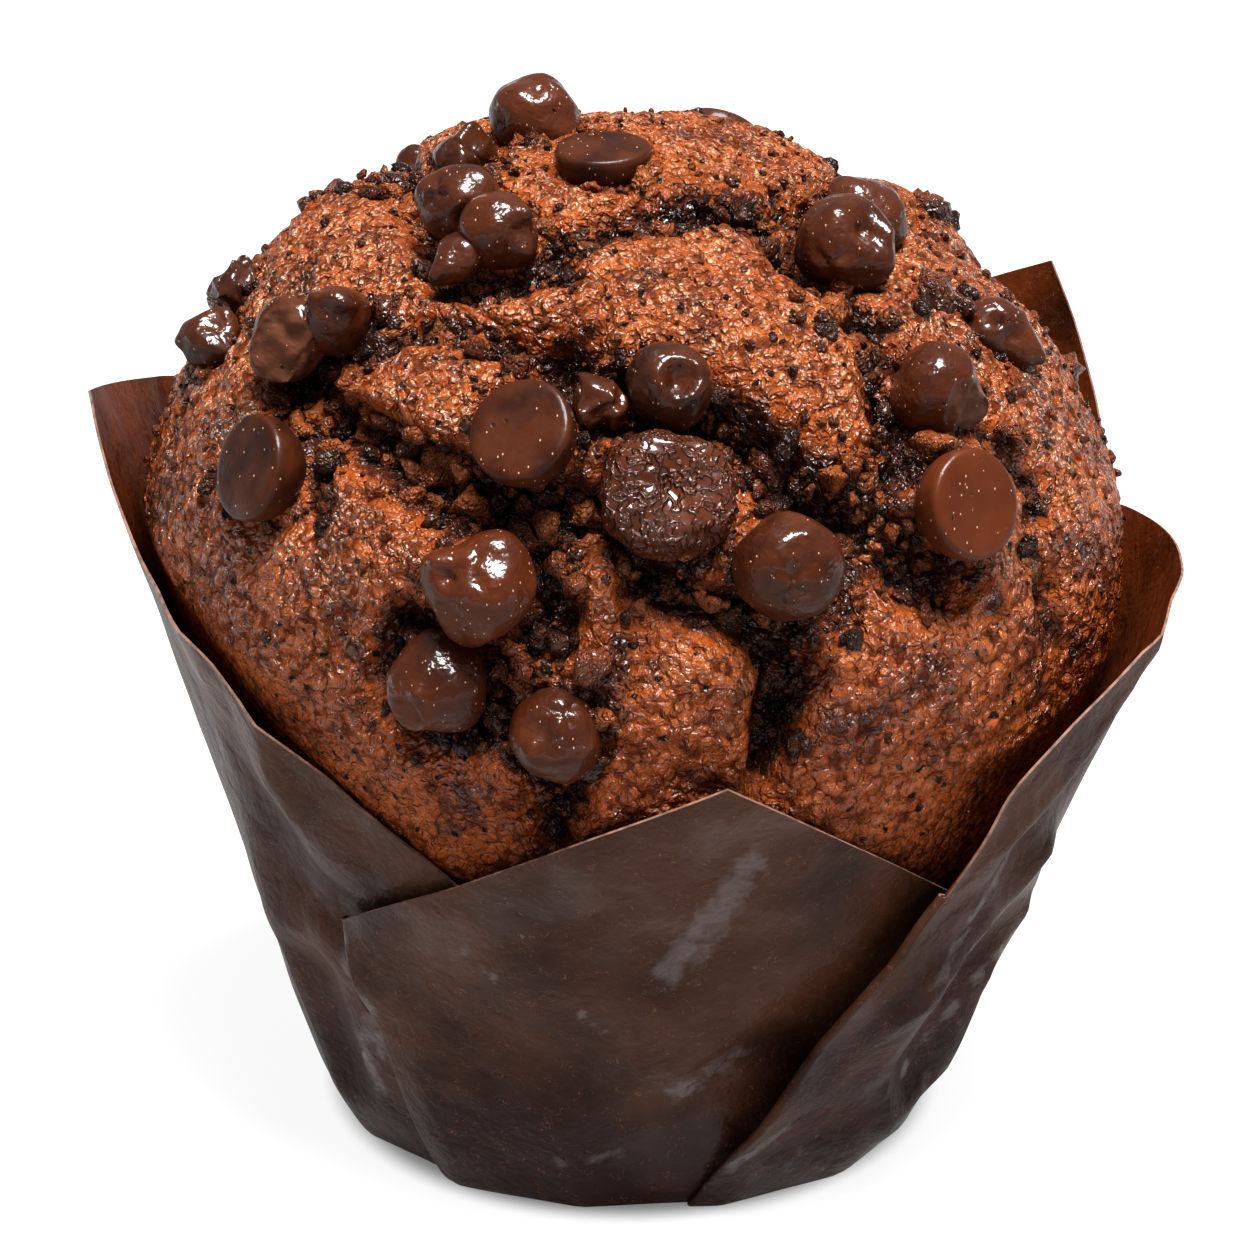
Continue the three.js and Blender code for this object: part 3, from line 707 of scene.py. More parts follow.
@dataclass
class DomeForm:
    """The risen form of the cake, which all that lies on it shares."""

    wall: Wall = field(default_factory=Wall)
    centre_x: float = 0.2
    centre_z: float = 48.0
    radius: float = 39.9
    height: float = 34.6
    depth: float = 41.6
    puff: float = 1.3
    puff_reach: float = 4.5
    crack_scale: float = 1.12
    crack_steepness: float = 2.8
    in_wall: float = 1.35
    cup_gap: float = 0.8
    floor_z: float = 1.0
    neck_rise: float = -28.0
    neck_fade: float = 14.0
    cup_share: float = 0.72
    moat: float = 0.8
    moat_width: float = 1.0

    def __post_init__(self) -> None:
        """Work out the centre and the reach at which courses lie."""
        self.middle = np.array([self.centre_x, 0, self.centre_z])
        self.reach = self.radius - 2
        self.chips: list["Chip"] = []

    def plain_reach(self, way: Points) -> Points:
        """The plain dome's surface in directions, as lengths from its centre."""
        height = np.where(way[:, 2] > 0, self.height, self.depth)
        flat = np.hypot(way[:, 0], way[:, 1]) / self.radius
        return 1 / np.hypot(flat, way[:, 2] / height)

    def dents(self, point: Points, marks: tuple) -> Points:
        """The summed depth of round dents that fade over their reach."""
        total = np.zeros(len(point))
        for bearing, rise, reach, depth in marks:
            away = np.linalg.norm(point - heading(bearing, rise) * self.reach, axis=1)
            total += depth * np.exp(-((away / reach) ** 2))
        return total

    def risen(self, way: Points) -> Points:
        """The risen form between the cracks, as a length over the plain dome."""
        x, y, z = way.T
        broad = np.sin(5.1 * x + 1.3) * np.sin(4.3 * y + 0.4 + 2 * z)
        close = np.sin(11 * x - 3 * z + 2.1) * np.sin(10 * y + 4 * z + 0.7)
        return 0.45 * broad + 0.35 * close - self.dents(way * self.reach, SLUMPS)

    def cracks(self, point: Points) -> tuple[Points, Points, Points]:
        """How the cracks cut the crust.

        Args:
            point: points at the reach.

        Returns:
            The distance to the nearest crack, the depth of the cut, and how far into a crack each
            point is, from 0 to 1.
        """
        stray = 1.0 * vector_noise(point, 6.0, 11) + 0.5 * vector_noise(point, 1.8, 12)
        strayed = point + stray
        width = 1 + 0.35 * value_noise(point, 7.0, 13)
        nearest = np.full(len(point), np.inf)
        cut = np.zeros(len(point))
        chasm = np.zeros(len(point))
        for crack in CRACKS:
            away = distance_to_course(strayed, crack.line(self.reach))
            share = np.exp(-((away / (crack.half * self.crack_scale * width)) ** self.crack_steepness))
            nearest = np.minimum(nearest, away)
            cut = np.maximum(cut, crack.depth * share)
            chasm = np.maximum(chasm, share * min(1.0, 0.35 + crack.depth / 4.5))
        return nearest, cut, chasm

    def chip_moats(self, way: Points) -> Points:
        """How close each point of the crust lies to the rim of a chip, from 0 to 1."""
        surface = way * self.plain_reach(way)[:, None] + self.middle
        ring = np.zeros(len(way))
        for chip in self.chips:
            away = np.linalg.norm(surface - chip.middle(self), axis=1)
            ring = np.maximum(ring, np.exp(-(((away - chip.width / 2 - 0.3) / self.moat_width) ** 2)))
        return ring

    def survey(self, way: Points) -> dict[str, Points]:
        """The crust in directions.

        Args:
            way: unit vectors from the dome's centre.

        Returns:
            The crust's reach from the centre, how far into a crack each point is, how dark its colour is made,
            and how close it lies to the rim of a chip. The dark share is moist crumb in cracks and patches,
            with painted shade deep in the cracks and round the rims of chips.
        """
        point = way * self.reach
        nearest, cut, chasm = self.cracks(point)
        hollow = self.dents(point, HOLLOWS)
        patch = np.clip(self.dents(point, DARK_PATCHES), 0, 1)
        ring = self.chip_moats(way)
        open_crumb = np.clip(chasm + 0.5 * patch + 0.35 * ring, 0, 1)
        knobs = 0.55 - cell_noise(point, 2.1, 21)
        beads = 0.55 - cell_noise(point, 1.15, 22)
        crumb = open_crumb * (1.1 * knobs + 0.5 * beads + 0.35 * value_noise(point, 0.9, 23))
        grain = (1 - open_crumb) * (0.5 * beads + 0.22 * value_noise(point, 0.8, 24))
        folds = 0.3 * value_noise(point, 4.2, 25) + 0.16 * value_noise(point, 1.9, 26)
        relief = self.risen(way) - self.puff * np.exp(-nearest / self.puff_reach) - cut - hollow
        relief += crumb + grain + folds - self.moat * ring
        # Dark: moist crumb in cracks and patches, plus painted shade deep in the cracks and painted contact
        # shade round the rims of chips.
        dark = np.clip(1.05 * chasm + 0.8 * patch + 0.45 * ring, 0, 1)
        return {"reach": self.plain_reach(way), "relief": relief, "chasm": chasm, "dark": dark, "ring": ring}

    def crust_points(self, way: Points, survey: dict[str, Points]) -> Points:
        """Points of the crust, kept inside the paper."""
        rise = np.degrees(np.arcsin(np.clip(way[:, 2], -1, 1)))
        fade = smoothstep(self.neck_rise, self.neck_rise + self.neck_fade, rise)
        point = way * (survey["reach"] + survey["relief"] * fade)[:, None] + self.middle
        room = self.wall.radius(bearing_of(point), point[:, 2]) - self.in_wall
        pull = np.minimum(1, room / np.maximum(np.hypot(point[:, 0], point[:, 1]), 1e-6))
        return point * np.stack([pull, pull, np.ones_like(pull)], axis=1)

    def cake_points(self, way: Points, survey: dict[str, Points]) -> Points:
        """Points of the cake: crust above the neck, then down the cup and in to the axis."""
        rise = np.degrees(np.arcsin(np.clip(way[:, 2], -1, 1)))
        crust = self.crust_points(way, survey)
        bearing = bearing_of(way)
        neck_way = heading(bearing, np.full(len(way), self.neck_rise))
        plain = {"reach": self.plain_reach(neck_way), "relief": np.zeros(len(way))}
        neck = self.crust_points(neck_way, plain)
        share = np.clip((self.neck_rise - rise) / (90 + self.neck_rise), 0, 1)
        down = np.minimum(1, share / self.cup_share)
        inward = np.maximum(0, (share - self.cup_share) / (1 - self.cup_share))
        z = neck[:, 2] + (self.floor_z - neck[:, 2]) * down
        neck_radius = np.hypot(neck[:, 0], neck[:, 1])
        wide = neck_radius + (self.radius - neck_radius) * down
        cup_radius = np.minimum(self.wall.radius(bearing, z) - self.in_wall, wide)
        cup_radius = cup_radius - self.cup_gap * smoothstep(0, 0.15, share)
        cup = around(bearing, cup_radius * (1 - inward), z)
        return np.where((rise >= self.neck_rise)[:, None], crust, cup)


@dataclass
class Crust:
    """The cake: one closed skin, finest where it shows above the paper."""

    form: DomeForm
    ball_levels: int = 6
    cuts: int = 2
    shown_share: float = 0.735
    shown_vertices: float = 0.86

    def crowded(self, way: Points) -> Points:
        """Directions moved so that more of them lie on the dome that shows."""
        place = (1 - way[:, 2]) / 2
        upper = place * self.shown_share / self.shown_vertices
        lower = 1 - (1 - place) * (1 - self.shown_share) / (1 - self.shown_vertices)
        z = 1 - 2 * np.where(place < self.shown_vertices, upper, lower)
        flat = np.sqrt(np.maximum(0, 1 - z**2))
        side = unit(way[:, :2])
        return np.column_stack([side * flat[:, None], z])

    def build(self) -> bpy.types.Object:
        """Make the piece."""
        piece = started(
            "cake_crust", bpy.ops.mesh.primitive_ico_sphere_add, subdivisions=self.ball_levels, radius=MM)
        bpy.ops.object.mode_set(mode="EDIT")
        bpy.ops.mesh.select_all(action="SELECT")
        bpy.ops.mesh.subdivide(number_cuts=self.cuts)
        bpy.ops.object.mode_set(mode="OBJECT")
        way = self.crowded(unit(points_of(piece)))
        survey = self.form.survey(way)
        place_points(piece, self.form.cake_points(way, survey))
        # The chasm attribute carries the dark share, painted shade included.
        note(piece, "chasm", survey["dark"])
        self.survey = survey
        smooth(piece)
        piece.data.materials.append(CrustFinish().material())
        seat(piece, ("cake",))
        return piece


class Ground(Enum):
    """Where crumbs lie on the cake."""

    ISLAND = "island"
    LIP = "lip"
    CRACK = "crack"
    SOCKET = "socket"


@dataclass
class Crumbs:
    """Loose or half-sunk crumbs of one kind, joined in one mesh."""

    name: str
    ground: Ground
    count: int
    smallest: float
    largest: float
    finish: CrumbFinish
    seed: int
    levels: int = 2
    sunk: float = 0.25
    raggedness: float = 0.3
    slot: str = "crust"
    lowest_z: float = 24.0
    wall_room: float = 2.3
    spots: tuple[tuple[float, float], ...] = ()
    scatter: float = 0.03

    def weights(self, crust: Crust, points: Points) -> Points:
        """How likely a crumb is at each vertex of the crust."""
        chasm, dark, ring = (crust.survey[key] for key in ("chasm", "dark", "ring"))
        chosen = {
            Ground.ISLAND: (1 - dark) ** 2,
            Ground.LIP: 4 * chasm * (1 - chasm) + 0.5 * ring * (1 - chasm) + 0.01,
            Ground.CRACK: dark**2 + 0.6 * ring * dark,
            Ground.SOCKET: ring**2 * (0.3 + dark),
        }[self.ground]
        room = crust.form.wall.radius(bearing_of(points), points[:, 2]) - np.hypot(*points[:, :2].T)
        return np.where((points[:, 2] > self.lowest_z) & (room > self.wall_room), chosen, 0)

    def chosen(self, crust: Crust, ground: Points, rng: np.random.Generator) -> Points:
        """The vertices of the crust on which crumbs lie: round set spots, or by their weights."""
        if not self.spots:
            weights = self.weights(crust, ground)
            return rng.choice(len(ground), self.count, replace=False, p=weights / weights.sum())
        wanted = heading(*np.array(self.spots, float).T)
        wanted = np.repeat(wanted, self.count // len(self.spots), axis=0)
        wanted = unit(wanted + rng.normal(0, self.scatter, wanted.shape))
        way = unit(ground - crust.form.middle)
        return np.array([np.argmax(way @ one) for one in wanted])

    def template(self) -> tuple[Points, Points]:
        """One crumb: the points of a small ball and its triangles."""
        ball = started(
            "crumb_template", bpy.ops.mesh.primitive_ico_sphere_add, subdivisions=self.levels, radius=MM)
        points, faces = points_of(ball), triangles_of(ball)
        bpy.data.objects.remove(ball)
        return points, faces

    def build(self, crust: Crust, piece: bpy.types.Object) -> bpy.types.Object:
        """Make the piece on the crust's own mesh."""
        rng = np.random.default_rng(self.seed)
        ground, normals = points_of(piece), normals_of(piece)
        spots = self.chosen(crust, ground, rng)
        ball, faces = self.template()
        size = self.smallest + (self.largest - self.smallest) * rng.random(self.count) ** 2.5
        stretch = rng.uniform(0.7, 1.25, (self.count, 1, 3)) * size[:, None, None] / 2
        own = rng.uniform(-50, 50, (self.count, 1, 3))
        bumps = value_noise(ball[None] * 1.3 + own, 1.0, self.seed)
        bumps += 0.5 * value_noise(ball[None] * 3.1 - own, 1.0, self.seed + 7)
        shapes = ball[None] * (1 + self.raggedness * bumps[..., None]) * stretch
        shapes = shapes @ self.turns(rng)
        lift = (0.5 - self.sunk) * size[:, None] * normals[spots]
        jitter = rng.normal(0, 0.15, (self.count, 3))
        centres = ground[spots] + lift + jitter
        shapes = shapes + centres[:, None]
        made = mesh_piece(self.name, shapes.reshape(-1, 3), self.copied(faces, len(ball)))
        shade = np.repeat(rng.random(self.count), len(ball))
        note(made, "shade", shade)
        note(made, "broken", np.zeros(len(shade)))
        made.data.materials.append(self.finish.material())
        seat(made)
        return made

    def turns(self, rng: np.random.Generator) -> Points:
        """A random turn for each crumb, as matrices."""
        first = unit(rng.normal(size=(self.count, 3)))
        second = unit(np.cross(first, unit(rng.normal(size=(self.count, 3)))))
        return np.stack([first, second, np.cross(first, second)], axis=1)

    def copied(self, faces: Points, size: int) -> Points:
        """The template's faces for every copy."""
        starts = np.arange(self.count)[:, None, None] * size
        return (faces[None] + starts).reshape(-1, 3)


# Chips


class ChipKind(Enum):
    """How a chip sits and how far it melted."""

    DISC = "disc"
    BALL = "ball"
    DROP = "drop"
    PUDDLE = "puddle"


# A chip's outline from its foot up its side to its tip: share of half width, share of half height
OUTLINES = {
    ChipKind.DISC: ((0, -1), (0.58, -0.82), (0.93, 0), (0.985, 0.7), (0.96, 0.93), (0.88, 1.0), (0, 1)),
    ChipKind.BALL: ((0, -1), (0.62, -0.95), (1.02, -0.3), (1.0, 0.42), (0.58, 1.0), (0, 1)),
    ChipKind.DROP: (
        (0, -0.88), (0.62, -0.84), (1.04, -0.3), (0.92, 0.25), (0.45, 0.75), (0.2, 1.0), (0, 1)),
    ChipKind.PUDDLE: ((0, -1), (0.5, -0.9), (0.97, -0.2), (1.0, 0.4), (0.8, 0.9), (0.3, 0.9), (0, 0.85)),
}


class MarkKind(Enum):
    """What a mark does to a chip."""

    DENT = "dent"
    RING = "ring"
    NUB = "nub"
    HOLE = "hole"
    CREASE = "crease"
    FACET = "facet"


@dataclass(frozen=True)
class Mark:
    """A mark on a chip, in the direction right, up and near as the front viewer sees it.

    The size is an angle in degrees and the depth a length in millimetres. A facet's depth is the
    share of the half width at which it cuts.
    """

    kind: MarkKind
    right: float
    up: float
    near: float
    size: float
    depth: float

    def way(self, tilt: float = 22.0) -> Points:
        """The mark's direction from the chip's middle."""
        cos, sin = math.cos(math.radians(tilt)), math.sin(math.radians(tilt))
        return unit(np.array([self.right, -cos * self.near + sin * self.up, sin * self.near + cos * self.up]))


MARKS = {
    "chip_crest": (
        Mark(MarkKind.DENT, 0.5, 0.0, 0.85, 22, 0.5), Mark(MarkKind.CREASE, 0.2, 0.6, 0.6, 20, 0.3),
        Mark(MarkKind.NUB, 0.75, -0.5, 0.5, 22, 0.5)),
    "chip_cluster_high": (
        Mark(MarkKind.DENT, 0.25, -0.45, 0.85, 20, 1.0), Mark(MarkKind.CREASE, -0.6, 0.3, 0.7, 26, 0.5),
        Mark(MarkKind.NUB, 0.55, 0.45, 0.6, 20, 0.5)),
    "chip_cluster_low": (
        Mark(MarkKind.NUB, 0.65, 0.4, 0.6, 20, 0.9), Mark(MarkKind.NUB, 0.6, -0.5, 0.6, 18, 0.8),
        Mark(MarkKind.DENT, 0.5, 0.0, 0.85, 16, 0.5)),
    "chip_cluster_drip": (Mark(MarkKind.DENT, 0.2, 0.3, 0.9, 30, 0.3),),
    "chip_pair_broken": (
        Mark(MarkKind.FACET, -0.4, -0.15, 0.9, 60, 0.5), Mark(MarkKind.FACET, 0.5, -0.6, 0.6, 60, 0.72),
        Mark(MarkKind.DENT, -0.2, 0.6, 0.7, 20, 0.5)),
    "chip_pair_drop": (
        Mark(MarkKind.DENT, 0.1, -0.1, 1.0, 16, 0.35), Mark(MarkKind.NUB, -0.6, 0.4, 0.6, 18, 0.8),
        Mark(MarkKind.DENT, -0.35, 0.1, 0.9, 12, 0.5)),
    "chip_left_edge": (
        Mark(MarkKind.NUB, -0.95, -0.1, 0.2, 16, 0.5), Mark(MarkKind.DENT, 0.2, 0.4, 0.8, 25, 0.8),
        Mark(MarkKind.NUB, 0.4, -0.4, 0.8, 18, 0.5)),
    "chip_melted": (Mark(MarkKind.DENT, 0.25, 0.35, 0.9, 24, 0.5),),
    "chip_round": (
        Mark(MarkKind.CREASE, 0.05, -0.35, 0.9, 34, 0.35), Mark(MarkKind.DENT, 0.1, 0.35, 0.9, 9, 0.25)),
    "chip_right_drop": (
        Mark(MarkKind.FACET, 0.75, -0.55, 0.6, 60, 0.66), Mark(MarkKind.DENT, 0.3, 0.2, 0.9, 16, 0.3)),
    "chip_shoulder": (
        Mark(MarkKind.DENT, 0.45, 0.3, 0.85, 15, 1.0), Mark(MarkKind.NUB, -0.15, 0.6, 0.75, 18, 0.6),
        Mark(MarkKind.NUB, 0.8, 0.25, 0.55, 16, 0.7), Mark(MarkKind.NUB, 0.75, -0.4, 0.55, 20, 0.7),
        Mark(MarkKind.CREASE, -0.3, -0.35, 0.85, 30, 0.35)),
    "chip_shoulder_flat": (
        Mark(MarkKind.DENT, 0.1, 0.1, 1.0, 30, 0.4), Mark(MarkKind.DENT, -0.5, 0.3, 0.8, 18, 0.5)),
    "chip_right_edge": (
        Mark(MarkKind.HOLE, -0.1, 0.3, 0.95, 9, 0.8), Mark(MarkKind.NUB, 0.6, -0.7, 0.4, 28, 0.9),
        Mark(MarkKind.DENT, 0.3, -0.15, 0.95, 20, 0.4)),
    "chip_dimple": (
        Mark(MarkKind.RING, 0.25, 0.2, 0.95, 22, 0.9), Mark(MarkKind.NUB, -0.6, 0.7, 0.4, 20, 0.5),
        Mark(MarkKind.DENT, 0.1, -0.1, 0.95, 14, 0.5)),
    "chip_heart_drop": (
        Mark(MarkKind.HOLE, -0.6, 0.1, 0.8, 9, 0.9), Mark(MarkKind.NUB, -0.72, 0.35, 0.6, 15, 0.6),
        Mark(MarkKind.CREASE, -0.1, 0.3, 0.95, 24, 0.4), Mark(MarkKind.RING, 0.35, 0.35, 0.85, 13, 0.22),
        Mark(MarkKind.FACET, -0.6, -0.6, 0.5, 60, 0.84)),
    "chip_chin_drop": (
        Mark(MarkKind.NUB, -0.38, -0.2, 0.9, 9, 0.6), Mark(MarkKind.DENT, 0.0, 0.0, 1.0, 14, 0.25),
        Mark(MarkKind.FACET, -0.6, -0.55, 0.6, 60, 0.86)),
    "chip_chin_sunk": (
        Mark(MarkKind.CREASE, 0.2, 0.5, 0.8, 26, 0.4), Mark(MarkKind.DENT, -0.5, 0.3, 0.8, 22, 0.7),
        Mark(MarkKind.NUB, -0.5, -0.4, 0.8, 22, 0.5)),
    "chip_rear_a": (
        Mark(MarkKind.HOLE, -0.3, 0.4, -0.8, 12, 0.9), Mark(MarkKind.NUB, 0.5, 0.5, -0.6, 16, 0.5)),
    "chip_rear_c": (
        Mark(MarkKind.CREASE, 0.1, 0.3, -0.9, 30, 0.35), Mark(MarkKind.DENT, -0.3, 0.5, -0.7, 14, 0.3)),
    "chip_rear_f": (
        Mark(MarkKind.FACET, -0.6, -0.5, -0.6, 60, 0.7), Mark(MarkKind.DENT, 0.3, 0.3, -0.9, 18, 0.4)),
    "chip_rear_h": (Mark(MarkKind.RING, 0.8, 0.3, -0.5, 22, 0.6),),
}

# How much paler than the rest a chip is, from 0 to 1
TONES = {
    "chip_right_flat": 0.36, "chip_mid_flat": 0.0, "chip_left_flat": 0.0, "chip_round": 0.05,
    "chip_heart_drop": 0.2, "chip_chin_drop": 0.15, "chip_crest": 0.15, "chip_right_drop": 0.15,
    "chip_dimple": 0.0, "chip_melted": 0.25, "chip_top_flat": 0.0, "chip_left_edge": 0.0,
    "chip_crown_left": 0.0, "chip_left_lump": 0.0, "chip_mid_bit": 0.0, "chip_rear_d": 0.25,
}


# Chips that melted and set as rough lumps
LUMPY = ("chip_crown_left", "chip_left_lump", "chip_mid_bit")


@dataclass
class Chip:
    """One chocolate chip, set in the crust at a bearing and a rise.

    Lift is the height of its middle above the crust. Lean is how far its axis tips off the
    crust's normal, and lean_way where it tips to: 0 up, 90 to the right.
    """

    name: str
    kind: ChipKind
    bearing: float
    rise: float
    lift: float
    width: float
    height: float
    lean: float
    lean_way: float
    rings: int = 44
    segments: int = 60
    roundings: int = 3

    @property
    def out(self) -> Points:
        """The crust's plain normal where the chip stands."""
        return heading(self.bearing, self.rise)

    def middle(self, form: DomeForm) -> Points:
        """The chip's middle, in millimetres."""
        way = self.out[None]
        level = form.plain_reach(way) + form.risen(way) - form.puff / 2
        return self.out * (level[0] + self.lift) + form.middle

    def axes(self) -> Points:
        """Two sideways axes and the chip's own axis, as rows."""
        right = around(self.bearing + 90, 1.0, 0.0)
        up = np.cross(self.out, right)
        way = math.radians(self.lean_way)
        sideways = math.cos(way) * up + math.sin(way) * right
        lean = math.radians(self.lean)
        axis = math.cos(lean) * self.out + math.sin(lean) * sideways
        first = unit(np.cross(axis, right if abs(axis @ right) < 0.9 else up))
        return np.stack([first, np.cross(axis, first), axis])

    def rounded_outline(self) -> Points:
        """The outline with its corners cut round, in millimetres."""
        points = np.array(OUTLINES[self.kind], float) * [self.width / 2, self.height / 2]
        for _ in range(self.roundings):
            first, second = points[:-1], points[1:]
            inner = np.stack([0.75 * first + 0.25 * second, 0.25 * first + 0.75 * second], axis=1)
            points = np.concatenate([points[:1], inner.reshape(-1, 2), points[-1:]])
        return points

    def turned(self, ball: Points) -> Points:
        """A ball's points moved to the chip's form about its own axis."""
        outline = self.rounded_outline()
        steps = np.linalg.norm(np.diff(outline, axis=0), axis=1)
        along = np.concatenate([[0], np.cumsum(steps)]) / steps.sum()
        share = 1 - np.arccos(np.clip(ball[:, 2], -1, 1)) / math.pi
        radius = np.interp(share, along, outline[:, 0])
        height = np.interp(share, along, outline[:, 1])
        side = unit(ball[:, :2])
        return np.column_stack([side * radius[:, None], height])

    def uneven(self, points: Points) -> Points:
        """The form with the unevenness of its kind."""
        amount, size = {
            ChipKind.DISC: (0.1, 4.0), ChipKind.BALL: (0.32, 3.2),
            ChipKind.DROP: (0.42, 3.2), ChipKind.PUDDLE: (0.4, 3.6)}[self.kind]
        own = np.array([self.bearing, self.rise, self.width]) * 7.3
        if self.name in LUMPY:
            amount, size = 0.8, 1.3
        moved = points + amount * vector_noise(points + own, size, 41)
        if self.kind in (ChipKind.BALL, ChipKind.DROP):
            moved += 0.13 * vector_noise(points + own, 1.3, 44)
        if self.kind is ChipKind.PUDDLE:
            folds = 1 - 2.2 * np.abs(value_noise(points + own, 1.3, 42))
            moved += 0.28 * unit(points) * folds[:, None]
        return moved

    def marked(self, points: Points) -> tuple[Points, Points]:
        """Press the chip's marks.

        Args:
            points: the chip's points about its middle.

        Returns:
            The moved points, and how broken the surface is at each, from 0 to 1.
        """
        broken = np.zeros(len(points))
        for mark in MARKS.get(self.name, ()):
            way = mark.way()
            angle = np.degrees(np.arccos(np.clip(unit(points) @ way, -1, 1)))
            spread = np.exp(-((angle / mark.size) ** 2))
            push = np.zeros(len(points))
            if mark.kind in (MarkKind.DENT, MarkKind.HOLE):
                push = -mark.depth * spread
            elif mark.kind is MarkKind.NUB:
                push = mark.depth * spread
            elif mark.kind is MarkKind.RING:
                rim = np.exp(-(((angle - 1.35 * mark.size) / (0.55 * mark.size)) ** 2))
                push = mark.depth * (0.4 * rim - spread)
            elif mark.kind is MarkKind.CREASE:
                side = unit(np.cross(way, [0.3, 0.2, 0.93]))
                turn = np.arctan2(points @ side, points @ np.cross(way, side))
                push = -mark.depth * spread * (1 - np.abs(np.sin(1.5 * turn + self.bearing))) * 1.6
            elif mark.kind is MarkKind.FACET:
                over = points @ way - mark.depth * self.width / 2
                push = -np.maximum(over, 0) * 0.8
                broken = np.maximum(broken, smoothstep(0.0, 0.4, over + 0.2 * value_noise(points, 0.9, 45)))
                push += broken * (0.3 * value_noise(points, 1.3, 43) + 0.12 * value_noise(points, 0.5, 46))
            points = points + push[:, None] * way
        return points, broken

    def build(self, form: DomeForm, materials: dict[str, bpy.types.Material]) -> bpy.types.Object:
        """Make the piece."""
        piece = started(
            f"{self.name}_set", bpy.ops.mesh.primitive_uv_sphere_add,
            segments=self.segments, ring_count=self.rings, radius=MM)
        points = self.uneven(self.turned(unit(points_of(piece))))
        points, broken = self.marked(points @ self.axes())
        place_points(piece, points + self.middle(form))
        note(piece, "broken", broken)
        note(piece, "tone", np.full(len(points), TONES.get(self.name, 0.08)))
        smooth(piece)
        key = {ChipKind.DISC: "satin", ChipKind.PUDDLE: "wrinkled"}.get(self.kind, "gloss")
        piece.data.materials.append(materials[key])
        seat(piece, (self.name,))
        return piece


def chips() -> list[Chip]:
    """Every chip on the cake."""
    disc, ball, drop, puddle = ChipKind.DISC, ChipKind.BALL, ChipKind.DROP, ChipKind.PUDDLE
    rows = (
        ("crest", ball, -117, 75.5, 1.1, 7.4, 6.4, 15, 150),
        ("top_flat", disc, -27, 81, -1.1, 7.8, 4.4, 6, 0),
        ("cluster_high", drop, -51, 61.5, 1.2, 6.8, 7.2, 60, 250),
        ("cluster_low", ball, -35, 60, 0.8, 6.0, 6.2, 20, 180),
        ("cluster_drip", drop, -40.5, 54, 0.8, 3.6, 5.4, 75, 190),
        ("crown_left", ball, -86, 67.5, 0.7, 4.6, 4.0, 0, 0),
        ("pair_broken", ball, -58, 36, 1.2, 7.0, 6.0, 35, 250),
        ("pair_drop", drop, -53, 41.3, 1.2, 5.6, 7.2, 50, 60),
        ("left_edge", drop, -82, 29, 1.0, 5.0, 6.6, 70, 250),
        ("left_lump", ball, -90, 34, 0.5, 4.4, 4.0, 0, 0),
        ("left_flat", disc, -50.6, 21.7, 0.4, 8.6, 4.8, 6, 270),
        ("mid_flat", disc, -14, 31.8, 0.8, 8.5, 5.0, 14, 315),
        ("mid_bit", ball, -4.3, 37.4, -0.4, 4.2, 3.6, 0, 0),
        ("dimple", ball, 5.6, 39.2, 0.2, 6.6, 6.4, 0, 0),
        ("melted", puddle, 4.2, 25.8, 0.6, 10.2, 5.0, 4, 0),
        ("round", ball, 17.8, 17, 1.2, 8.1, 7.8, 10, 0),
        ("right_flat", disc, 41.9, 19.8, 0.3, 8.9, 5.0, 0, 0),
        ("right_drop", drop, 48.2, 32.4, 0.8, 7.0, 8.4, 70, 140),
        ("shoulder", ball, 57, 55.5, 1.2, 7.8, 7.0, 15, 200),
        ("shoulder_flat", ball, 82, 57, 1.0, 7.6, 4.6, 10, 90),
        ("right_edge", drop, 74.5, 34.3, 0.6, 5.5, 7.2, 60, 170),
        ("heart_drop", drop, -17.5, 15.5, 1.4, 8.8, 9.0, 65, 290),
        ("chin_drop", drop, -22, 3.5, 0.8, 7.9, 8.6, 35, 215),
        ("chin_sunk", ball, -8.5, -1.5, -0.3, 7.0, 6.2, 10, 0),
        ("rear_a", drop, -150, 32, 1.0, 8.2, 8.6, 50, 40),
        ("rear_b", disc, -132, 19, 0.6, 9.0, 4.8, 5, 90),
        ("rear_c", ball, -174, 27, 1.0, 8.4, 8.0, 0, 0),
        ("rear_d", disc, 154, 11, 0.6, 9.1, 4.8, 6, 0),
        ("rear_e", puddle, 147, 24, 0.5, 10.2, 4.8, 5, 0),
        ("rear_f", drop, -161, 7, 1.0, 8.4, 9.0, 60, 120),
        ("rear_g", disc, 166, 41, 0.4, 8.6, 4.6, 8, 180),
        ("rear_h", drop, 131, 12, 0.8, 7.4, 8.0, 55, 230),
    )
    return [Chip(f"chip_{row[0]}", *row[1:]) for row in rows]


# The paper case


@dataclass(frozen=True)
class Panel:
    """One panel of the case between two folds.

    Each key is the bearing at the base, the bearing at the edge, the height of the edge and how
    many layers out from the innermost.
    """

    name: str
    flare: float
    curl: float
    keys: tuple[tuple[float, float, float, float], ...]


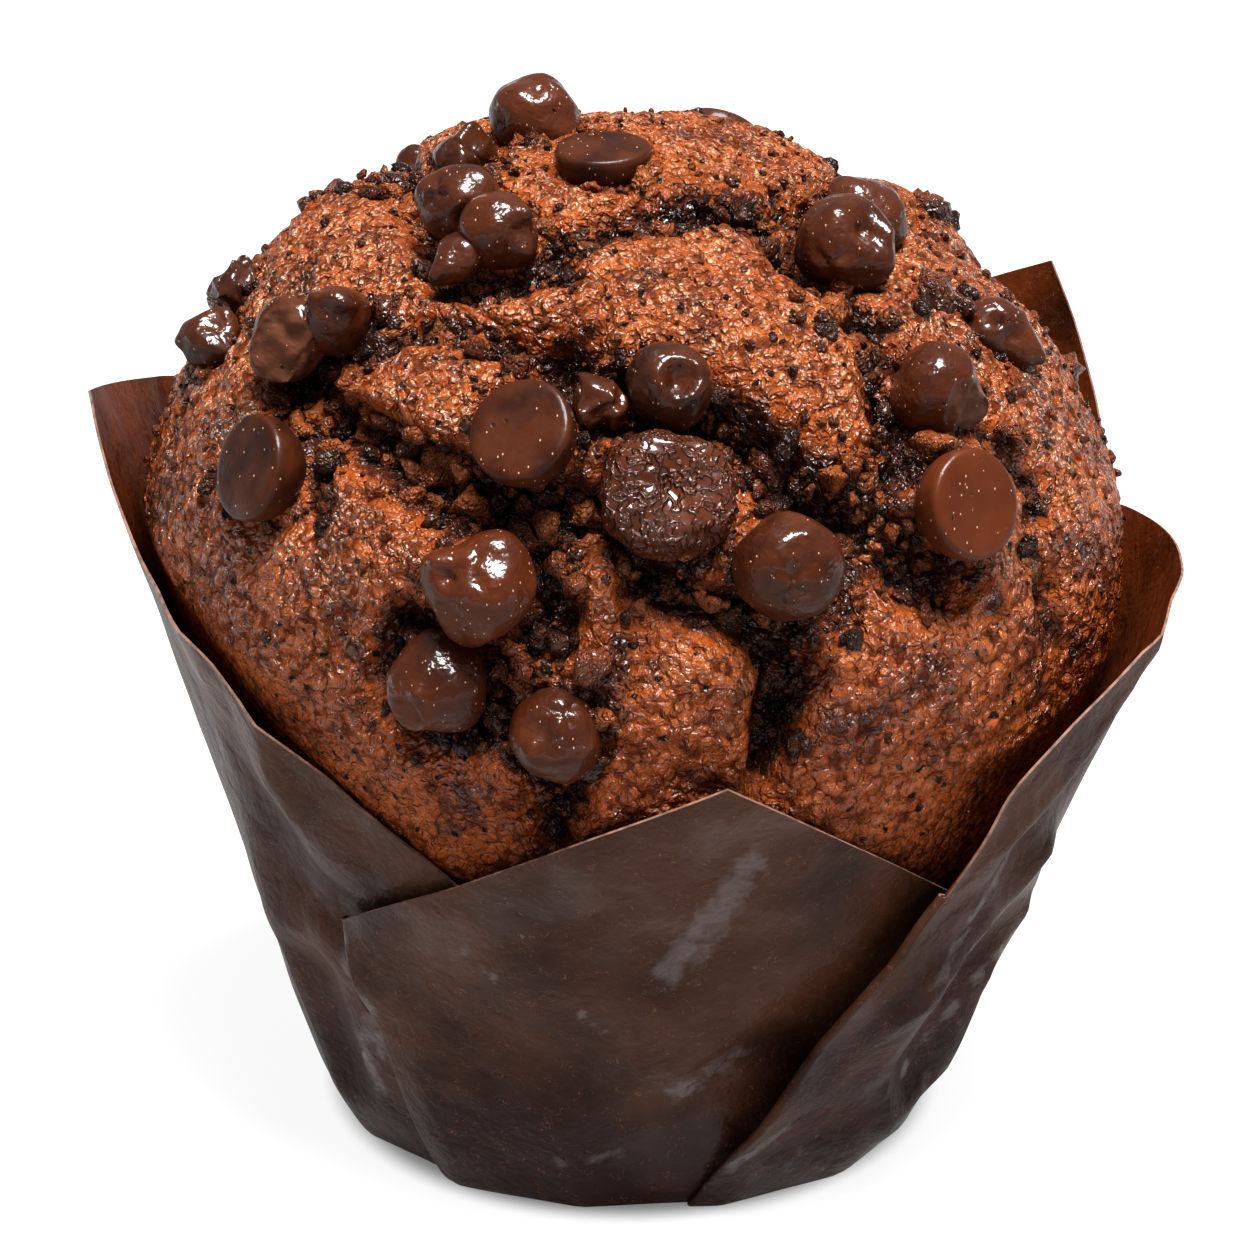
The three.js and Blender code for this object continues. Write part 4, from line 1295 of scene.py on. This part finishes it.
PANELS = (
    Panel("front", 0.3, 0.3, (
        (-36, -42, 25.5, 2), (-28, -22, 32.5, 2), (-8, -5, 38.8, 1.3), (6, 10, 43.7, 0.5),
        (20, 23, 37.5, 0), (31, 38, 30.8, 0), (42, 47, 27, 0))),
    Panel("right", 4.0, 1.3, (
        (11, 38.5, 30, 2), (21, 46, 38.8, 2), (45, 63, 46.6, 1.8), (68, 77, 48.8, 1.2),
        (90, 98, 47, 0.5), (105, 108, 46, 0), (118, 122, 43, 0))),
    Panel("rear_right", 0.6, 0.3, (
        (103, 110, 45, 2), (111, 117, 48.8, 2), (127, 133, 60.5, 1.5), (145, 150, 54, 0.6),
        (160, 165, 46, 0), (172, 176, 42, 0))),
    Panel("rear", 1.2, 0.3, (
        (158, 160, 40, 2), (170, 172, 48, 2), (190, 195, 57, 1.5), (208, 212, 51, 0.6),
        (226, 230, 45, 0), (240, 243, 41, 0))),
    Panel("left", 0.6, 0.3, (
        (232, 226, 44, 2), (242, 238, 54, 2), (262, 269, 60.5, 1.6), (282, 284, 51.5, 1),
        (300, 301, 48.5, 0.5), (311, 315, 42.5, 0), (330, 336, 33.5, 0), (338, 344, 29, 0))),
)

# Creases pressed into the paper: height (a valley where negative), width on each side, and the
# course as (bearing, z)
CREASES = (
    (0.9, 7.0, ((-9, 9), (1.3, 13), (12.9, 18.5), (26, 24.5))),
    (-1.1, 7.0, ((3, 3), (8, 9), (15, 14), (25, 20))),
    (0.7, 7.0, ((-18.5, 29), (-9, 24.3), (1.2, 22))),
    (-0.8, 7.0, ((-29, 20), (-12, 16), (-2, 10))),
    (-0.5, 6.0, ((8.5, 26.8), (13.3, 35.8))),
    (0.5, 6.0, ((-31, 0), (-32, 11))),
    (1.4, 6.0, ((-46, 50), (-47, 38), (-44.5, 34), (-44, 31))),
    (0.8, 5.0, ((-61, 52), (-56, 42), (-50, 37))),
    (-1.0, 5.0, ((-54, 40), (-51, 32), (-44, 27))),
    (0.9, 5.0, ((-57, 22.3), (-48.2, 20), (-48.5, 14), (-49.5, 0))),
    (-0.9, 4.0, ((-54, 18), (-55, 8))),
    (0.8, 4.0, ((-47, 22.6), (-40, 19.5))),
    (1.2, 5.0, ((-61, 26), (-62, 12), (-60, 0))),
    (1.0, 5.0, ((66, 46), (55.5, 36), (47, 33), (45.6, 27))),
    (-0.9, 5.0, ((62, 34), (52, 30), (46, 26))),
    (1.5, 6.0, ((62, 28), (51, 24.5), (41, 19.9), (37.5, 18))),
    (0.9, 5.0, ((42, 18.7), (40, 12), (42.8, 7))),
    (-1.0, 5.0, ((56, 20), (50, 15), (47, 9))),
    (1.5, 6.0, ((64, 22), (59, 15), (57, 8), (46, 5.5), (41, 2))),
    (0.5, 2.2, ((62, 28), (51, 24.5), (41, 19.9), (37.5, 18))),
    (0.5, 2.2, ((64, 22), (59, 15), (57, 8), (46, 5.5), (41, 2))),
    (0.35, 2.0, ((42, 18.7), (40, 12), (42.8, 7))),
    (0.35, 2.0, ((66, 46), (55.5, 36), (47, 33), (45.6, 27))),
    (0.8, 4.0, ((74, 40), (72, 24), (70, 8))),
    (1.0, 6.0, ((96, 40), (92, 18), (98, 2))),
    (-0.8, 5.0, ((84, 34), (82, 12))),
    (1.1, 6.0, ((132, 46), (136, 24), (128, 0))),
    (-0.9, 5.0, ((146, 36), (150, 10))),
    (1.1, 6.0, ((186, 44), (190, 24), (182, 2))),
    (-0.8, 5.0, ((202, 36), (198, 8))),
    (1.1, 6.0, ((222, 36), (216, 14), (224, 0))),
    (1.1, 6.0, ((258, 46), (262, 26), (254, 4))),
    (-0.8, 5.0, ((274, 38), (270, 10))),
)

# Corners of the foot, between which the paper stands straight: bearings
FOOT_CORNERS = (-60, -33, -9, 16, 41, 61, 86, 111, 136, 161, 186, 211, 236, 262, 281, 300)

# Smears of fat on the paper, and painted sheen streaks along ridges: half width, strength, and the course as
# (bearing, z)
FAT_AND_SHEEN_STREAKS = (
    (2.2, 0.8, ((13.5, 35.6), (10.9, 31.6), (7.3, 27.9), (5.3, 25.8))),
    (1.6, 0.75, ((8, 12.1), (15.9, 15.7))),
    (1.0, 0.6, ((15.9, 4.7), (23.6, 8.4))),
    (0.8, 0.6, ((-22.2, 27.2), (-17.8, 23.9))),
    (0.9, 0.6, ((-12.8, 5.3), (-1.7, 5.7))),
    (0.7, 0.6, ((-8, 22), (-2, 19))),
    (1.8, 0.75, ((-41.4, 17.7), (-46, 12), (-47.5, 7.9))),
    (1.2, 0.7, ((-42.5, 23.7), (-43.4, 19.4))),
    # Narrow streaks along the right panel's ridges: painted sheen.
    (0.6, 0.85, ((70, 44), (62, 38), (56, 31.5), (46, 25.5))),
    (0.5, 0.85, ((41, 20.5), (46, 24.5))),
    (0.5, 0.85, ((63, 20), (58, 17), (47.5, 9))),
    (0.5, 0.7, ((52, 7), (56, 13))),
    (1.2, 0.55, ((27, 3.5), (31, 5))),
    (1.5, 0.7, ((120, 30), (126, 22))),
    (1.8, 0.8, ((172, 34), (176, 24))),
    (1.5, 0.7, ((232, 20), (226, 12))),
    (1.5, 0.7, ((268, 30), (264, 20))),
)


@dataclass
class Case:
    """The paper case: one sheet in five lapped panels, joined to a round floor."""

    wall: Wall
    thickness: float = 0.22
    layer_step: float = 0.7
    step_at_foot: float = 0.45
    foot_share: float = 0.3
    rows: int = 76
    steps: int = 9
    curl_from: float = 38.0
    curl_full: float = 48.0
    lowest: float = 0.03
    seam: float = 0.001
    corner_height: float = 9.0
    bulge: float = 1.4
    bulge_bearing: float = 8.0
    bulge_width: float = 44.0
    bulge_height: float = 12.0
    floor_radius: float = 23.9
    floor_thickness: float = 0.5

    def panel_columns(self, panel: Panel) -> Points:
        """A panel's columns: foot, edge, height, layer, flare, curl and turn."""
        keys = np.array(panel.keys, float)
        spans = len(keys) - 1
        place = np.linspace(0, spans, spans * self.steps + 1)
        values = [np.interp(place, np.arange(len(keys)), keys[:, k]) for k in range(4)]
        kernel = np.array([1, 2, 3, 2, 1]) / 9
        tip = int(np.argmax(keys[:, 2]))
        ease = smoothstep(0.0, 0.8, np.abs(place - tip))[2:-2]
        for k in range(4):
            eased = np.convolve(values[k], kernel, "valid")
            values[k][2:-2] += ease * (eased - values[k][2:-2])
        flare = panel.flare * np.maximum(0, 1 - place / 2)
        curl = panel.curl * smoothstep(self.curl_from, self.curl_full, values[2])
        return np.column_stack([*values, flare, curl, np.zeros(len(place))])

    def pleat_columns(self, last: Points, first: Points, flare: float, lap: float) -> Points:
        """The hidden part of a pleat: back from one panel's end to the next one's folded edge."""
        start = last[:3]
        end = first[:3] + np.array([lap, lap, 0])
        bend = np.radians(np.linspace(30, 150, 5))
        out = (1 - np.cos(bend)) / 2
        rows = [(*start, layer, 0, 0, turn) for layer, turn in zip(out, np.sin(bend))]
        for share in np.linspace(0, 1, 6):
            rows.append((*(start + (end - start) * share), 1, flare * share, 0, 0))
        rows += [(*end, 1 + layer, flare, 0, -turn) for layer, turn in zip(out, np.sin(bend))]
        return np.array(rows)

    def columns(self) -> Points:
        """All columns of the sheet, once round the cup."""
        parts = []
        for i, panel in enumerate(PANELS):
            following = PANELS[(i + 1) % len(PANELS)]
            lap = 360 if i + 1 == len(PANELS) else 0
            last, first = np.array(panel.keys[-1], float), np.array(following.keys[0], float)
            parts.append(self.panel_columns(panel))
            parts.append(self.pleat_columns(last, first, following.flare, lap))
        return np.concatenate(parts)

    def creased(self, bearing: Points, z: Points) -> Points:
        """How far creases and soft waves push the paper out."""
        point = around(bearing, self.wall.radius(bearing, z), z).reshape(-1, 3)
        push = np.zeros(len(point))
        for height, width, course in CREASES:
            course = np.array(course, float)
            line = around(course[:, 0], self.wall.radius(course[:, 0], course[:, 1]), course[:, 1])
            away = distance_to_course(point, line)
            push += height * np.maximum(0, 1 - away / width) ** 1.1
        push += 0.3 * value_noise(point, 15.0, 51) + 0.14 * value_noise(point, 5.0, 52)
        calm = smoothstep(0, 6, point[:, 2])
        push = push * (0.35 + 0.65 * calm)
        off_front = np.abs((bearing.ravel() - self.bulge_bearing + 180) % 360 - 180)
        push += self.bulge * np.exp(-((off_front / self.bulge_width) ** 2) - point[:, 2] / self.bulge_height)
        return push.reshape(bearing.shape)

    def straightened(self, bearing: Points, z: Points) -> Points:
        """The share of its radius that the paper keeps where it runs straight between corners."""
        corners = np.array(FOOT_CORNERS, float)
        turned = (bearing - corners[0]) % 360
        ends = np.append(corners - corners[0], 360)
        spot = np.clip(np.searchsorted(ends, turned, side="right") - 1, 0, len(corners) - 1)
        half = (ends[spot + 1] - ends[spot]) / 2
        chord = np.cos(np.radians(half)) / np.cos(np.radians(turned - ends[spot] - half))
        return 1 - (1 - chord) * np.exp(-z / self.corner_height)

    def sheen_and_fat_share(self, points: Points) -> Points:
        """How greyed the paper is at each point by fat and by painted sheen, from 0 to 1."""
        bearing, z = bearing_of(points), points[:, 2]
        flat = around(bearing, self.wall.radius(bearing, z), z)
        fat_and_sheen = np.zeros(len(points))
        for half, strength, course in FAT_AND_SHEEN_STREAKS:
            course = np.array(course, float)
            line = around(course[:, 0], self.wall.radius(course[:, 0], course[:, 1]), course[:, 1])
            fat_and_sheen = np.maximum(fat_and_sheen, strength * np.exp(-((distance_to_course(flat, line) / half) ** 2)))
        return fat_and_sheen

    def sheet_points(self) -> Points:
        """The sheet's middle, as columns of points from the foot up."""
        foot, edge, height, layer, flare, curl, turn = (c[:, None] for c in self.columns().T)
        share = np.linspace(0, 1, self.rows + 1)[None]
        z = height * share
        step = self.step_at_foot + (self.layer_step - self.step_at_foot) * smoothstep(0, self.foot_share, share)
        bearing = foot + (edge - foot) * share
        flare_at = smoothstep(0.04, 0.35, share) * (1 - 0.35 * share)
        out = step * (layer - 1 + flare * flare_at) + curl * share**4
        radius = self.wall.radius(bearing, z) * self.straightened(bearing, z)
        radius = radius + out + self.creased(bearing, z)
        sideways = np.degrees(turn * step * 0.45 / radius)
        return around(bearing + sideways, radius, np.maximum(z, self.lowest))

    def sheet(self) -> bpy.types.Object:
        """A plane grid rolled up into the folded sheet, its two ends merged."""
        rolled = self.sheet_points()
        rolled = np.concatenate([rolled, rolled[:1]])
        columns, rows = rolled.shape[0] - 1, rolled.shape[1] - 1
        piece = started(
            "paper_case", bpy.ops.mesh.primitive_grid_add, x_subdivisions=columns, y_subdivisions=rows,
            size=2 * MM)
        plane = (points_of(piece)[:, :2] + 1) / 2
        points = rolled[np.rint(plane[:, 0] * columns).astype(int), np.rint(plane[:, 1] * rows).astype(int)]
        place_points(piece, points)
        note(piece, "grease_and_sheen", self.sheen_and_fat_share(points))
        bpy.ops.object.mode_set(mode="EDIT")
        bpy.ops.mesh.select_all(action="SELECT")
        bpy.ops.mesh.remove_doubles(threshold=self.seam * MM)
        bpy.ops.object.mode_set(mode="OBJECT")
        return piece

    def build(self) -> bpy.types.Object:
        """Make the piece."""
        piece = self.sheet()
        outside = PaperFinish("pressed_greaseproof_paper")
        inside = PaperFinish(
            "greaseproof_paper_inside", dark="#200a02", middle="#491c07", fibre="#7c4224", grease_and_sheen="#241007",
            sheen=(0.02, 0.08))
        for finish in (outside, inside, CutEdgeFinish()):
            piece.data.materials.append(finish.material())
        applied(piece, "SOLIDIFY", thickness=self.thickness * MM, offset=0.0, material_offset=1,
                material_offset_rim=2)
        self.lay_floor(piece)
        smooth(piece, 50)
        seat(piece, ("case",))
        return piece

    def lay_floor(self, piece: bpy.types.Object) -> None:
        """Join the round floor to the sheet."""
        floor = started(
            "case_floor", bpy.ops.mesh.primitive_cylinder_add, vertices=96, radius=self.floor_radius * MM,
            depth=self.floor_thickness * MM, location=(0, 0, (self.floor_thickness / 2 + 0.02) * MM))
        bpy.ops.object.mode_set(mode="EDIT")
        bpy.ops.mesh.select_all(action="SELECT")
        bpy.ops.mesh.bevel(offset=0.12 * MM, segments=2)
        bpy.ops.object.mode_set(mode="OBJECT")
        bpy.ops.object.transform_apply(location=True, rotation=True, scale=True)
        clear_selection()
        floor.select_set(True)
        piece.select_set(True)
        bpy.context.view_layer.objects.active = piece
        bpy.ops.object.join()


# The stage


@dataclass
class Studio:
    """A plain pale floor, soft light and the photograph's viewpoint."""

    look_at: tuple[float, float, float] = (-0.3, 0.0, 40.2)
    distance: float = 500.0
    tilt: float = 22.0
    frame_pixels: float = 1254.0
    focal_pixels: float = 6100.0
    sensor: float = 36.0
    floor_half: float = 3000.0
    # The board's glow inside and outside the painted contact shadow round the foot.
    floor_glow: tuple[float, float] = (0.2, 0.92)
    shade_reach: tuple[float, float] = (25.0, 28.6)
    key_power: float = 76.0
    key_size: tuple[float, float] = (820.0, 620.0)
    key_place: tuple[float, float, float] = (200.0, -220.0, 1450.0)
    sky: float = 0.22

    def build(self) -> None:
        """Make the floor, the lights and the camera."""
        self.lay_floor()
        self.hang_light("key", self.key_place, self.key_size, self.key_power)
        self.paint_sky()
        self.stand_camera()
        bpy.context.scene.view_settings.view_transform = "Standard"

    def lay_floor(self) -> None:
        """Lay the lit board that the case stands on; its glow is turned down close round the foot as a painted
        contact shadow.
        """
        floor = started("studio_floor", bpy.ops.mesh.primitive_plane_add, size=2 * self.floor_half * MM)
        material, tree = new_material("lit_opal_board")
        # The painted contact shadow is stretched so that it reaches less far at the sides.
        wide = add_node(
            tree, "ShaderNodeVectorMath", {0: millimetres(tree), 1: (1.09, 1.0, 1.0)}, operation="MULTIPLY")
        place = add_node(tree, "ShaderNodeVectorMath", {0: wide.outputs[0]}, operation="LENGTH")
        glow_with_painted_shadow = between(tree, place.outputs["Value"], *self.shade_reach, *self.floor_glow)
        surfaced(tree, {
            "Base Color": linear("#707070"), "Roughness": 0.9, "Specular IOR Level": 0.1,
            "Emission Color": linear("#ffffff"), "Emission Strength": glow_with_painted_shadow})
        floor.data.materials.append(material)

    def hang_light(self, name: str, place: tuple, size: tuple[float, float], power: float) -> None:
        """Hang an oblong soft light that looks at the muffin."""
        bpy.ops.object.light_add(type="AREA", location=[c * MM for c in place])
        lamp = bpy.context.object
        lamp.name = name
        lamp.data.shape = "RECTANGLE"
        lamp.data.size, lamp.data.size_y = (s * MM for s in size)
        lamp.data.energy = power
        towards = Vector(self.look_at) - Vector(place)
        lamp.rotation_mode = "QUATERNION"
        lamp.rotation_quaternion = towards.to_track_quat("-Z", "Y")

    def paint_sky(self) -> None:
        """Light the room evenly from all round."""
        world = bpy.data.worlds.new("studio_sky")
        world.use_nodes = True
        world.node_tree.nodes["Background"].inputs["Color"].default_value = (1, 1, 1, 1)
        world.node_tree.nodes["Background"].inputs["Strength"].default_value = self.sky
        bpy.context.scene.world = world

    def stand_camera(self) -> None:
        """Stand the camera where the photograph was taken from."""
        tilt = math.radians(self.tilt)
        back = Vector((0, -math.cos(tilt), math.sin(tilt))) * self.distance
        lens = bpy.data.cameras.new("photograph_view")
        lens.sensor_width = self.sensor
        lens.lens = self.focal_pixels / self.frame_pixels * self.sensor
        lens.clip_start, lens.clip_end = 0.01, 20.0
        camera = bpy.data.objects.new("photograph_view", lens)
        camera.location = (Vector(self.look_at) + back) * MM
        camera.rotation_euler = (math.radians(90 - self.tilt), 0, 0)
        bpy.context.scene.collection.objects.link(camera)
        bpy.context.scene.camera = camera


def main() -> None:
    """Build the muffin and its stage."""
    logging.basicConfig(level=logging.INFO, format="%(message)s")
    wall = Wall()
    form = DomeForm(wall)
    form.chips = chips()
    crust = Crust(form)
    cake = crust.build()
    russet = CrumbFinish("torn_russet_crumb", ("#1d0a04", "#4c200b", "#703516"))
    moist = CrumbFinish("moist_dark_crumb", ("#1d0b05", "#43200d", "#7a3d1a"), rough=0.36, coat=0.32)
    wet = CrumbFinish("wet_melted_chocolate", ("#220d07", "#401c0d", "#5e2b13"), rough=0.3, coat=0.6)
    for crumbs in (
        Crumbs("crust_grains", Ground.ISLAND, 700, 0.4, 1.1, russet, 101, sunk=0.5),
        Crumbs("lip_crumbs", Ground.LIP, 1200, 0.5, 2.0, russet, 102, sunk=0.5, raggedness=0.85),
        Crumbs("crack_crumbs", Ground.CRACK, 1300, 0.6, 2.6, moist, 103, sunk=0.5, raggedness=0.85),
        Crumbs("melted_bits", Ground.CRACK, 9 * len(MELTED_SPOTS), 0.8, 2.9, wet, 104, sunk=0.5,
               raggedness=0.4, slot="chocolate", spots=MELTED_SPOTS),
    ):
        crumbs.build(crust, cake)
    finishes = {
        "satin": ChocolateFinish("moulded_chocolate", rough=0.4, coat=0.22, coat_rough=0.18),
        "gloss": ChocolateFinish("melted_chocolate", rough=0.34, coat=0.6, coat_rough=0.12, waves=0.22),
        "wrinkled": ChocolateFinish("scorched_chocolate", rough=0.34, coat=1.0, coat_rough=0.14, wrinkle=0.4),
    }
    materials = {key: finish.material() for key, finish in finishes.items()}
    for chip in form.chips:
        chip.build(form, materials)
    Case(wall).build()
    Studio().build()


if __name__ == "__main__":
    main()
